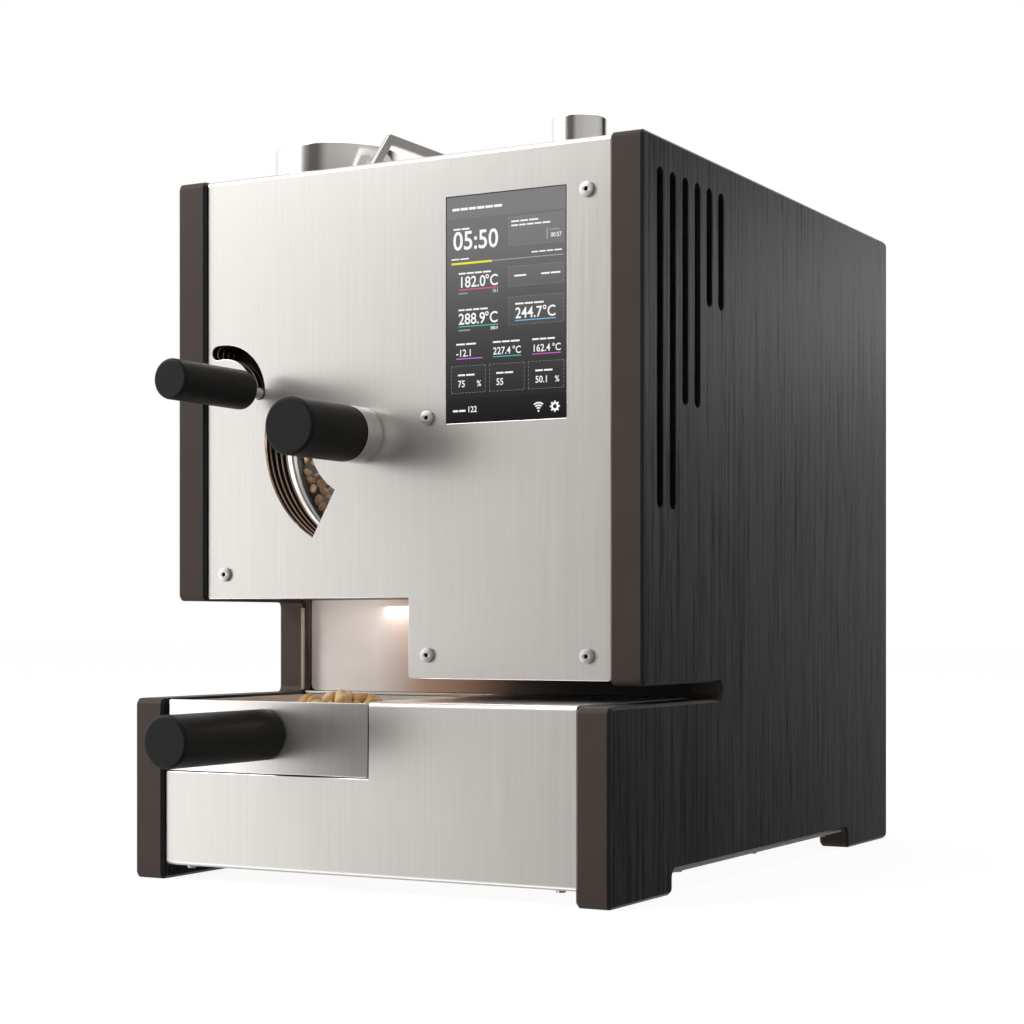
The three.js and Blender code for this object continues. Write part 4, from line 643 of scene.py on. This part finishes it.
for shield_number in range(1, 5):
    heat_shield(shield_number)
WINDOW_RIM = window_sector(4)
plate("window_ring", [RING] * 3, "polished_steel", WINDOW_RIM, *node_depth("window_frame"), ON_XZ, (0.4, 0.4),
      3, node="window_frame", holes=[window_sector()], hole_bevel=(0.5, 0.3))
plate("window_pane", [GLASS] * 3, "clear_glass", WINDOW_RIM, *node_depth("window_glass"), ON_XZ, (0.3, 0.3),
      node="window_glass")


# Handles, lever stem and trier collar
def grip(name, node, centre, radius, front, back, body, bore=0.0):
    """A round black handle. Its back has a bore where a stem enters it."""
    profile = soften([(0, front), (radius, front), (radius, back), (bore, back)], 2.0, 8)
    if bore:
        bore_end = back - 18
        profile += [(bore, bore_end), (0, bore_end)]
    turned(name, GRIP, "black_grip", profile, "y", centre, 128, 40, body, node)


def collar():
    """The steel ring that the trier turns in, with a fine groove near its back."""
    outer, inner, front, back = 17.3, TRIER_HOLE, 29.1, 46.0
    groove, groove_front, groove_back = outer - 0.9, 44.6, 45.3
    profile = soften([(inner, front), (outer, front), (outer, groove_front), (groove, groove_front),
                      (groove, groove_back), (outer, groove_back), (outer, back), (inner, back),
                      (inner, front)], 0.25, 3)
    turned("trier_ring", COLLAR, "plated_steel", profile, "y", DRUM, 128, 40, node="trier_collar")


grip("lever_grip", "charge_lever_handle", LEVER_GRIP, 12.3, -44.4, 28.1, "charge_lever", 4.3)
grip("trier_grip", "trier_handle", DRUM, 17.4, -30.3, 28.8, "trier", 10.3)
grip("tray_grip", "tray_handle", TRAY_GRIP, 15.5, -95.3, 2.7, "cooling_tray")
turned("lever_stem", COLLAR, "plated_steel", soften(rod(radius=4.0, front=8.4, back=75.6), 0.5, 3), "y",
       LEVER_GRIP, 64, body="charge_lever", node="charge_lever_stem")
collar()


# Hopper, exhaust pipe and lid handle
def hopper():
    """A round bin whose cone leans forward to its throat."""
    top, cone_top, cone_bottom, lean = 464.0, 421.0, 395.0, 22.0
    outer, inner, neck, throat = 40.2, 38.7, 12.0, 10.8
    profile = [(throat, cone_bottom), (neck, cone_bottom), (outer, cone_top)]
    profile += soften([(outer, cone_top), (outer, top), (inner, top), (inner, cone_top)], 0.7, 5)[1:]
    profile.append((throat, cone_bottom))
    turned("bean_hopper", POLISHED, "polished_steel", profile, "z", HOPPER, 144, 35, node="hopper",
           lean=lambda p: p - Vector((0, max(0.0, cone_top - p.z) * lean / (cone_top - cone_bottom), 0)))


def exhaust():
    outer, inner, bottom, top = 16.9, 15.4, 433.3, 464.0
    profile = soften([(inner, bottom), (outer, bottom), (outer, top), (inner, top), (inner, bottom)], 0.6, 5)
    turned("exhaust_stub", POLISHED, "polished_steel", profile, "z", PIPE, 96, 35, node="exhaust_pipe")


def loop_handle():
    """The chaff lid's handle: a flat band bent into a trapezium."""
    bottom, top = 443.2, 466.0
    front, back, right, left = 61.0, 189.0, -28.05, -30.55
    lean, band = 20.0, 6.2
    slope = lean / (top - bottom)
    leg = band * math.hypot(1, slope)
    inner_top = top - band
    run = slope * (inner_top - bottom)
    outer = rounded([(front, bottom), (front + leg, bottom), (front + leg + run, inner_top),
                     (back - leg - run, inner_top), (back - leg, bottom), (back, bottom),
                     (back - lean, top), (front + lean, top)], [0.3, 0.3, 2, 2, 0.3, 0.3, 5, 5], 8)
    plate("lid_loop", SHEET_FINISH, "panel_steel", outer, right, left, ON_YZ, (0.3, 0.3),
          body="chaff_lid", node="lid_handle")


hopper()
exhaust()
loop_handle()


# Lower front sheet, tray face and the small sheets of the bay
def lower_front():
    """The lower sheet, notched for the tray's face, with the deck folded back and a fold at the foot."""
    gap, bevel = 0.7, 0.28
    cut_x, cut_z = TRAY[2] + gap, TRAY[1] - gap
    low_bend, top_bend = LOWER_BOTTOM + BEND, DECK_TOP - BEND
    face = rounded([(-SHEET_X, low_bend), (SHEET_X, low_bend), (SHEET_X, top_bend), (cut_x, top_bend),
                    (cut_x, cut_z), (-SHEET_X, cut_z)], [0, 0, 0, 0, 0.6, 1.2], 4)

    def at_fold(a, b):
        return abs(a.y - b.y) < 0.01 and (abs(a.y - low_bend) < 0.01 or abs(a.y - top_bend) < 0.01)

    bm = bmesh.new()
    slab(bm, face, LOWER_Y, LOWER_Y + SHEET, ON_XZ, (bevel, bevel), keep=at_fold)
    strip(bm, fold(LOWER_Y, top_bend, 163.7), cut_x + bevel, SHEET_X - bevel)
    strip(bm, fold(LOWER_Y, low_bend, LOWER_Y + 15, -1), -SHEET_X + bevel, SHEET_X - bevel)
    finish(bm, "front_panel_lower", SHEET_FINISH, "panel_steel", node="lower_front_panel")


lower_front()
plate("tray_front", SHEET_FINISH, "panel_steel", box_outline(*TRAY, 1.0, 4), LOWER_Y, LOWER_Y + SHEET, ON_XZ,
      (0.35, 0.2), 3, body="cooling_tray", node="tray_face")
# The narrow strip of the deck between the back of the tray and the bay's wall, 1.6 thick
BRIDGE = (-SHEET_X, 155.7, TRAY[2] + 0.5, 163.5)
plate("deck_bridge", [SHELL] * 3, "panel_steel", box_outline(*BRIDGE, 0.5, 3), DECK_TOP, DECK_TOP - 1.6,
      ON_XY, (0.25, 0.1))
# The edge of the sheet that lines the bay on the left, with its front and back
BAY_EDGE, BAY_EDGE_Y = (-146.4, 113.4, -143.9, 169.4), (155.5, 157.0)
plate("bay_edge_trim", [LAMPLIT_TRIM] * 3, "panel_steel", box_outline(*BAY_EDGE, 0.6, 4), *BAY_EDGE_Y, ON_XZ,
      (0.3, 0))


# Display
def screen_body():
    """The display's glass in the front's opening, and its wider frame behind the sheet."""
    left, bottom, right, top = SCREEN
    frame_front = PANEL_BACK + 0.3
    wider = 2.2
    bm = bmesh.new()
    slab(bm, box_outline(*SCREEN, 0.4, 4), PANEL_Y, frame_front, ON_XZ, (0.2, 0), caps=(True, False), edge=1)
    slab(bm, box_outline(left - wider, bottom - wider, right + wider, top + wider, 1, 4), frame_front,
         node_depth("display")[1], ON_XZ, (0, 0.4), edge=1, face=1)
    finish(bm, "screen", [SCREEN_GLASS, PLASTIC], "touch_screen", node="display")


# Colours of the lit graphics, and the gains of the fields, which fade as the glass does
LIT = {
    "white": grey(0.95), "grey": grey(0.33), "yellow": (0.9, 0.78, 0.02), "pink": (0.85, 0.09, 0.22),
    "green": (0.05, 0.6, 0.28), "blue": (0.18, 0.55, 0.85), "violet": (0.62, 0.2, 0.8),
    "teal": (0.03, 0.55, 0.5), "magenta": (0.7, 0.1, 0.62),
}
FIELDS = {"header": 1.14, "card": 1.16, "footer": 0.8}
GLOWS = [glow_finish(f"readout_{key}", colour) for key, colour in LIT.items()]
GLOWS += [screen_finish(f"readout_{key}", gain) for key, gain in FIELDS.items()]
COLOURS = [*LIT, *FIELDS]

# Labels of the display: x, y and length, then colour and height unless they are white and 1
LABELS = [
    (4.2, 8.6, 34, "white", 1.5), (5, 20.2, 11), (44.4, 18.6, 18, "white", 0.9), (44.4, 21, 26, "white", 0.9),
    (70.2, 25.4, 6.4, "grey", 0.7), (3.6, 38, 12, "white", 0.8), (58, 37.6, 20, "white", 0.8),
    (8.6, 46.8, 22), (8.6, 58.6, 6, "grey", 0.8), (46.4, 50.8, 8), (64.4, 50.8, 12.6), (8.4, 68.6, 20),
    (8.4, 80.6, 8, "grey", 0.8), (47, 67.4, 19), (6.8, 89, 13.6), (32, 89, 18), (58.4, 89, 15),
    (4.6, 128.8, 8.6, "white", 1.2),
]
# Values with an underline: words, unit, x, y, size, width and the line's colour
VALUES = [
    ("182.0", "°C", 8.6, 54.6, 9.2, 27, "pink"), ("288.9", "°C", 8.4, 76.6, 9.2, 27, "green"),
    ("244.7", "°C", 47, 75.4, 9.0, 27, "blue"), ("-12.1", "", 6.8, 95.8, 6.0, 18, "violet"),
    ("227.4", "°C", 32.0, 95.8, 6.0, 19, "teal"), ("162.4", "°C", 58.4, 95.8, 6.0, 19, "magenta"),
]


def dashes(start, end):
    """The dashes of a line, as pairs of a start and an end."""
    dash, space, least = 1.5, 0.9, 0.2
    while start < end - least:
        yield start, min(start + dash, end)
        start += dash + space


class Readout:
    """The lit graphics of the display, laid on its glass. Places are millimetres from its top left corner."""

    def __init__(self):
        self.bm = bmesh.new()
        self.left, self.top = SCREEN[0], SCREEN[3]

    def level(self, layer):
        return PANEL_Y - 0.02 - 0.02 * layer

    def face(self, points, colour, layer):
        made = self.bm.faces.new([
            self.bm.verts.new((self.left + x, self.level(layer), self.top - y)) for x, y in points])
        made.material_index = COLOURS.index(colour)

    def rect(self, x0, y0, x1, y1, colour, layer=2):
        self.face([(x0, y1), (x1, y1), (x1, y0), (x0, y0)], colour, layer)

    def card(self, x0, y0, x1, y1):
        """A field with a dashed border."""
        self.rect(x0, y0, x1, y1, "card", 1)
        line = 0.16
        for start, end in dashes(x0, x1):
            self.rect(start, y0, end, y0 + line, "grey")
            self.rect(start, y1 - line, end, y1, "grey")
        for start, end in dashes(y0, y1):
            self.rect(x0, start, x0 + line, end, "grey")
            self.rect(x1 - line, start, x1, end, "grey")

    def label(self, x, y, length, colour="white", height=1.0):
        """A short run of small bars that stands for words."""
        bar, space = 5.5, 0.7
        spot = x
        pieces = max(1, round(length / bar))
        for i in range(pieces):
            end = x + length * (i + 1) / pieces - (space if i < pieces - 1 else 0)
            self.rect(spot, y - height, end, y, colour)
            spot = end + space

    def text(self, words, x, y, size, align="LEFT"):
        """White figures and units in Blender's own font, a little narrowed and thickened."""
        squeeze, weight = 0.9, 0.012
        curve = bpy.data.curves.new("readout_words", "FONT")
        curve.body = words
        curve.size = size
        curve.offset = size * weight
        curve.align_x = align
        curve.resolution_u = 4
        holder = add_object("readout_words", curve)
        bpy.context.view_layer.update()
        shape = bpy.data.meshes.new_from_object(
            holder.evaluated_get(bpy.context.evaluated_depsgraph_get()))
        verts = [self.bm.verts.new((self.left + x + v.co.x * squeeze, self.level(3), self.top - y + v.co.y))
                 for v in shape.vertices]
        for polygon in shape.polygons:
            made = self.bm.faces.new([verts[i] for i in polygon.vertices])
            made.material_index = COLOURS.index("white")
        bpy.data.objects.remove(holder)
        bpy.data.curves.remove(curve)
        bpy.data.meshes.remove(shape)

    def ring(self, x, y, inner, outer, start, end, steps=16):
        """A white arc with a width. The angles are degrees."""
        for k in range(steps):
            a, b = (math.radians(start + (end - start) * (k + i) / steps) for i in (0, 1))
            self.face([(x + radius * math.cos(turn), y - radius * math.sin(turn))
                       for radius, turn in ((outer, a), (outer, b), (inner, b), (inner, a))], "white", 3)

    def wave_icon(self, x, y):
        for radius in (1.6, 3.1, 4.6):
            self.ring(x, y, radius - 0.45, radius + 0.45, 50, 130)
        self.ring(x, y + 0.2, 0.0, 0.6, 0, 360)

    def gear_icon(self, x, y):
        self.ring(x, y, 1.25, 2.5, 0, 360, 24)
        middle = Vector((x, y))
        for k in range(8):
            a = math.radians(45 * k)
            out = Vector((math.cos(a), math.sin(a)))
            along = Vector((-out.y, out.x)) * 0.55
            tooth = [out * 2.3 - along, out * 3.3 - along * 0.8, out * 3.3 + along * 0.8, out * 2.3 + along]
            self.face([tuple(middle + corner) for corner in tooth], "white", 3)

    def build(self):
        self.rect(0.4, 0.4, 80.4, 13.6, "header", 1)
        self.rect(0.4, 120.6, 80.4, 134.8, "footer", 1)
        for corners in ((42.6, 15.4, 79.2, 32.6), (42.6, 44.6, 79.2, 56.4), (42.6, 62.6, 79.2, 79.2)):
            self.card(*corners)
        for label in LABELS:
            self.label(*label)
        for words, unit, x, y, size, width, underline in VALUES:
            self.text(words, x, y, size)
            self.text(unit, x + width, y, size, "RIGHT")
            self.rect(x, y + 1.1, x + width, y + 1.6, underline)
        self.text("05:50", 4.6, 32.0, 15.6)
        self.text("00:57", 77.8, 29.4, 3.6, "RIGHT")
        self.rect(68.2, 23.8, 68.4, 30.6, "white")
        self.rect(3.6, 39.6, 31.2, 40.8, "yellow")
        self.rect(31.2, 39.8, 79.2, 40.4, "grey")
        self.text("13.1", 35.6, 58.8, 2.6, "RIGHT")
        self.text("288.9", 35.4, 80.8, 2.6, "RIGHT")
        for x, words, unit in ((3.4, "75", "%"), (29.6, "55", ""), (55.8, "50.1", "%")):
            self.card(x, 101.4, x + 23.6, 117.6)
            self.label(x + 4.6, 107.4, 11.4)
            self.text(words, x + 4.6, 114.0, 5.6)
            if unit:
                self.text(unit, x + 20.6, 114.0, 5.0, "RIGHT")
        self.text("122", 14.4, 129.2, 5.0)
        self.wave_icon(62.6, 130.4)
        self.gear_icon(73.4, 128.4)
        for f in self.bm.faces:
            f.normal_update()
            if f.normal.y > 0:
                f.normal_flip()
        finish(self.bm, "screen_readout", GLOWS, "touch_screen", weld=False)


screen_body()
Readout().build()


# Coffee beans
def bean_shape():
    """One bean: a crowned back, a flatter belly and the crease along it. Returns its points and faces."""
    rings, around = 10, 16
    half_length, half_width, crown = 5.0, 3.6, 3.1
    belly, crease, crease_width = 0.6, 0.22, 0.16
    points, faces, row = [], [], []
    for i in range(rings + 1):
        polar = math.pi * i / rings
        above, row = row, [len(points) + j for j in range(around if 0 < i < rings else 1)]
        for j in range(len(row)):
            a = 2 * math.pi * j / around
            x, y, z = math.sin(polar) * math.cos(a), math.sin(polar) * math.sin(a), math.cos(polar)
            if z < 0:
                z = z * belly + crease * math.exp(-(y / crease_width) ** 2) * -z
            points.append(Vector((x * half_length, y * half_width * (1 - 0.1 * x * x), z * crown)))
        for j in range(around if above else 0):
            k = (j + 1) % around
            corners = [above[j % len(above)], row[j % len(row)], row[k % len(row)], above[k % len(above)]]
            faces.append(list(dict.fromkeys(corners)))
    return points, faces


def pour(name, places, material, body):
    """A heap of beans, each at its place with its size, turned and stretched at random."""
    points, faces = bean_shape()
    bm = bmesh.new()
    for at, size in places:
        turn = Euler([random.uniform(0, math.tau) for _ in range(3)]).to_matrix()
        stretch = Vector([random.uniform(0.9, 1.12) * size for _ in range(3)])
        verts = [bm.verts.new(turn @ Vector((p.x * stretch.x, p.y * stretch.y, p.z * stretch.z)) + at)
                 for p in points]
        for face in faces:
            bm.faces.new([verts[i] for i in face])
    finish(bm, name, [material], body=body, angle=80, weld=False)


def scatter(count, sample, least):
    """Random places that keep a least distance from one another."""
    tries = 9000
    kept = []
    for _ in range(tries):
        at = sample()
        if at is not None and all((at - other).length > least for other in kept):
            kept.append(at)
            if len(kept) == count:
                break
    return kept


def heap_place():
    """A place in the tray's heap, or nothing where the heap is too low to show."""
    x, y = random.uniform(-84, -6), random.uniform(14, 104)
    reach = math.hypot(x + 48, (y - 54) * 0.7)
    top = 113.2 - 0.08 * reach - 0.005 * reach * reach
    if top < 100:
        return None
    return Vector((x, y, random.uniform(max(98.8, top - 9), top)))


def drum_place():
    """A place in the drum: in one of two rings near the window, or deeper in. The vanes stay free."""
    angle = math.radians(random.uniform(172, 258))
    rim = 66.8
    deeper = (rim * math.sqrt(random.uniform(0.2, 0.8)), 86.3 + 11 * random.random() ** 2)
    reach, depth = random.choice(((rim, 86.1), (60.5, 86.4), deeper))
    at = Vector((DRUM[0] + reach * math.cos(angle), depth, DRUM[1] + reach * math.sin(angle)))
    here = Vector((at.x - DRUM[0], at.z - DRUM[1]))
    vanes, vane_start, vane_gap, vane_front = 5, 50, 6, 94
    for k in range(vanes):
        turn = 2 * math.pi * (k + 0.5) / vanes
        vane = Vector((math.sin(turn), math.cos(turn)))
        along, beside = here.dot(vane), abs(here.x * vane.y - here.y * vane.x)
        if along > vane_start and beside < vane_gap and at.y > vane_front:
            return None
    return at


pour("tray_bean_heap", [(p, random.uniform(1.22, 1.42)) for p in scatter(120, heap_place, 8.2)],
     TRAY_BEANS, "cooling_tray")
pour("drum_bean_heap", [(p, random.uniform(0.66, 0.75)) for p in scatter(280, drum_place, 4.9)],
     DRUM_BEANS, "drum")


# Base screws and bay lamp
def base_screw(number, x, y, level):
    """A low screw head under the given level, with a small recess in its middle."""
    profile = [(0, level - 1.3), (0.9, level - 1.3), (1.1, level - 1.9)]
    profile += soften([(1.1, level - 1.9), (2.6, level - 1.8), (3.4, level), (0, level)], 0.4, 3)[1:]
    turned(f"base_screw_{number}", SCREW, "plated_steel", profile, "z", (x, y), 40)


def bay_lamp():
    """A small lamp bar under the bay's ceiling, with its diffuser."""
    bar, bar_top, bar_foot = (-12, 84, 4.6, 150), 174.4, 171.6
    pane, pane_foot = (-10, 87, 2.6, 147), 171.2
    plate("bay_lamp", [PLASTIC], "black_grip", box_outline(*bar, 2, 5), bar_top, bar_foot, ON_XY, (0, 0.6), 3,
          side=0, edge=0)
    lens = Finish("lamp_lens", Base_Color=(0.9, 0.86, 0.8, 1), Roughness=0.4,
                  Emission_Color=(1.0, 0.86, 0.72, 1))
    lens.feed("Emission Strength", lens.remap(lens.noise(300, 2.0), 10.0, 13.0))
    plate("bay_lamp_lens", [lens.material], "touch_screen", box_outline(*pane, 1.5, 5), bar_foot, pane_foot,
          ON_XY, (0, 0.2), side=0, edge=0)


for screw_number, place in enumerate(BASE_SCREWS, 1):
    base_screw(screw_number, *place)
bay_lamp()

# CAD nodes that stay, by their finishes
CARRIED = [
    (BOARD, "control_board"),
    (CAST, "drum_front_plate drum_housing shaft_coupling exhaust_fan_casing exhaust_impeller"),
    (PLATED, "lever_pivot_pin trier_sleeve drum_bearing drum_motor lid_hinge power_supply"),
    (SHELL, "charge_gate trier_scoop motor_bracket charge_chute discharge_door chaff_box tray_guide"),
    (DRUM_STEEL, "drum"),
    (CERAMIC, "heater"),
    (PLASTIC, "door_servo exhaust_fan_motor cooling_fan_frame cooling_fan_rotor power_inlet power_rocker"),
    (STEEL, "chaff_lid tray_bin tray_screen base_plate top_cover rear_panel"),
    (SOFFIT, "bay_ceiling"),
    (WALL, "bay_back_wall"),
]
# Those of them that get rounded edges, with the width in millimetres
BEVELLED = {"chaff_lid": 0.3, "lid_hinge": 0.25, "power_inlet": 0.5, "power_rocker": 0.4, "power_supply": 0.8,
            "top_cover": 0.25, "rear_panel": 0.25, "tray_bin": 0.2, "door_servo": 0.4}
for material, node_names in CARRIED:
    for node_name in node_names.split():
        mesh = nodes[node_name].data
        mesh.materials.clear()
        mesh.materials.append(material)
        mesh.shade_smooth()
        mesh.set_sharp_from_angle(angle=math.radians(28))
for node_name, width in BEVELLED.items():
    bevel = nodes[node_name].modifiers.new("edges", "BEVEL")
    bevel.width = width / 1000
    bevel.segments = 2
    bevel.limit_method = "ANGLE"
    bevel.angle_limit = math.radians(50)


# Floor, light and camera
def add_floor():
    """A pale floor that takes the object's shadow. A glow that only the camera sees makes it look white."""
    reach, glow, glow_share = 14.0, 1.22, 0.74
    mesh = bpy.data.meshes.new("floor")
    mesh.from_pydata([(-reach, -reach, 0), (reach, -reach, 0), (reach, reach, 0), (-reach, reach, 0)], [],
                     [(0, 1, 2, 3)])
    floor = add_object("floor", mesh)
    paint = Finish("floor_paint", Roughness=0.8, Specular_IOR_Level=0.1)
    paint.colour(paint.noise(1.5), [(0.3, 0.80), (0.7, 0.83)])
    light = paint.node("Emission", {"Color": (1, 1, 1, 1), "Strength": glow})
    seen = paint.node("LightPath").outputs["Is Camera Ray"]
    blend = paint.node("MixShader", {0: paint.calc("MULTIPLY", seen, glow_share),
                                               1: paint.shader.outputs[0], 2: light.outputs[0]})
    paint.tree.links.new(blend.outputs[0], paint.tree.nodes["Material Output"].inputs["Surface"])
    mesh.materials.append(paint.material)
    floor.visible_glossy = False


def add_world():
    """A studio: white behind the object, bright at the left front and dark in front."""
    world = bpy.data.worlds.new("studio")
    scene.world = world
    world.use_nodes = True
    studio = Nodes(world.node_tree)
    way = studio.node("TexCoord").outputs["Generated"]
    parts = studio.node("SeparateXYZ", {0: way}).outputs

    # Share of a full turn: 0 and 1 lie to the right (+X), 0.25 behind (+Y), 0.5 left, 0.75 in front (-Y)
    angle = studio.calc("ARCTAN2", parts["Y"], parts["X"])
    turn = studio.calc("FRACT", studio.calc("DIVIDE", angle, math.tau))
    # Height: 0 is straight down, 0.5 level and 1 straight up
    rise = studio.calc("ADD", studio.calc("MULTIPLY", parts["Z"], 0.5), 0.5)

    def patch(base, sector, band):
        """Lights one sector of the turn by a factor of its own at each height."""
        more = studio.calc("SUBTRACT", studio.ramp(rise, band), 1.0)
        share = studio.calc("MULTIPLY", more, studio.ramp(turn, sector))
        return studio.calc("MULTIPLY", base, studio.calc("ADD", share, 1.0))

    around = studio.ramp(turn, [
        (0.0, 0.62), (0.05, 0.62), (0.10, 0.5), (0.14, 0.1), (0.168, 0.06), (0.186, 0.17), (0.206, 0.6),
        (0.24, 1.0), (0.42, 1.0), (0.50, 1.5), (0.60, 2.85), (0.632, 2.8), (0.652, 0.8), (0.672, 0.29),
        (0.70, 0.13), (0.735, 0.13), (0.80, 0.5), (0.93, 0.6), (1.0, 0.62)], "EASE")
    upward = studio.ramp(rise, [
        (0.0, 0.5), (0.40, 0.52), (0.47, 0.58), (0.51, 0.8), (0.60, 1.0), (0.72, 0.85), (0.85, 0.72),
        (1.0, 0.72)])
    light = studio.calc("MULTIPLY", around, upward)
    # The right side plate mirrors the wall behind it, with a bright band at a low height
    light = patch(light, [(0.11, 0), (0.15, 2.7), (0.168, 2.7), (0.186, 1.7), (0.21, 0.85), (0.25, 0)],
                  [(0.44, 0.7), (0.47, 0.9), (0.515, 1.0), (0.543, 0.95), (0.554, 1.0), (0.565, 2.9),
                   (0.585, 3.3), (0.594, 1.0), (0.62, 0.6), (0.75, 0.8)])
    # The front mirrors a bright floor at the left
    light = patch(light, [(0.56, 0), (0.60, 1), (0.632, 1), (0.65, 0)],
                  [(0.44, 1.85), (0.475, 1.6), (0.505, 1.28), (0.53, 1.08), (0.56, 0.97), (0.60, 0.87)])

    # Matt surfaces get 0.6 of this light, and the camera sees white at least
    path = studio.node("LightPath").outputs
    seen = path["Is Camera Ray"]
    mirrored = studio.calc("MAXIMUM", path["Is Glossy Ray"], path["Is Transmission Ray"])
    sharp = studio.calc("MAXIMUM", mirrored, seen)
    share = studio.calc("ADD", studio.calc("MULTIPLY", sharp, 0.4), 0.6)
    level = studio.calc("MAXIMUM", studio.calc("MULTIPLY", light, share), seen)
    tint = studio.ramp(turn, [
        (0.0, (1, 0.99, 0.98)), (0.1, (1, 1, 1)), (0.5, (1, 1, 1)), (0.60, (0.95, 0.975, 1)),
        (0.63, (0.95, 0.975, 1)), (0.66, (1, 0.955, 0.92)), (0.76, (1, 0.94, 0.89)), (0.82, (1, 0.98, 0.96))])
    background = studio.tree.nodes["Background"]
    studio.tree.links.new(level, background.inputs["Strength"])
    studio.tree.links.new(studio.mix(seen, tint, (1, 1, 1)), background.inputs["Color"])


def add_area(name, place, aim, size, power, colour=(1, 1, 1)):
    light = bpy.data.lights.new(name, "AREA")
    light.shape = "RECTANGLE"
    light.size, light.size_y = size
    light.energy = power
    light.color = colour
    lamp = add_object(name, light)
    lamp.location = place
    lamp.rotation_euler = (Vector(aim) - Vector(place)).to_track_quat("-Z", "Y").to_euler()


def add_camera():
    """The photo's camera: level, with a vertical shift, as worked out from the photo's vanishing edges."""
    data = bpy.data.cameras.new("camera")
    data.lens = 75.405
    data.sensor_width = 36.0
    data.shift_y = 0.1088
    scene.camera = add_object("camera", data)
    scene.camera.location = (0.68677, -1.24714, 0.15875)
    scene.camera.rotation_euler = (math.radians(90), 0, math.radians(28.77))


add_floor()
add_world()
add_area("key_light", (-1.5, -1.7, 1.9), (0, 0, 0.25), (1.4, 1.4), 30)
add_area("top_light", (0.2, 0.2, 2.4), (0, 0, 0.3), (1.8, 1.8), 18)
add_area("bay_glow", (-0.108, -0.095, 0.1705), (-0.115, -0.022, 0.12), (0.05, 0.03), 0.035, (1, 0.9, 0.8))
add_area("bay_wash", (-0.055, -0.0258, 0.1702), (-0.055, -0.0235, 0.15), (0.055, 0.003), 0.012,
         (1, 0.96, 0.92))
add_area("drum_glow", (-0.022, -0.098, 0.300), (-0.085, -0.09, 0.25), (0.02, 0.006), 0.8, (1, 0.9, 0.78))
add_area("bean_glow", (-0.078, -0.1047, 0.284), (-0.090, -0.1018, 0.235), (0.03, 0.003), 0.22,
         (1, 0.93, 0.84))
add_camera()
scene.view_settings.view_transform = "Standard"
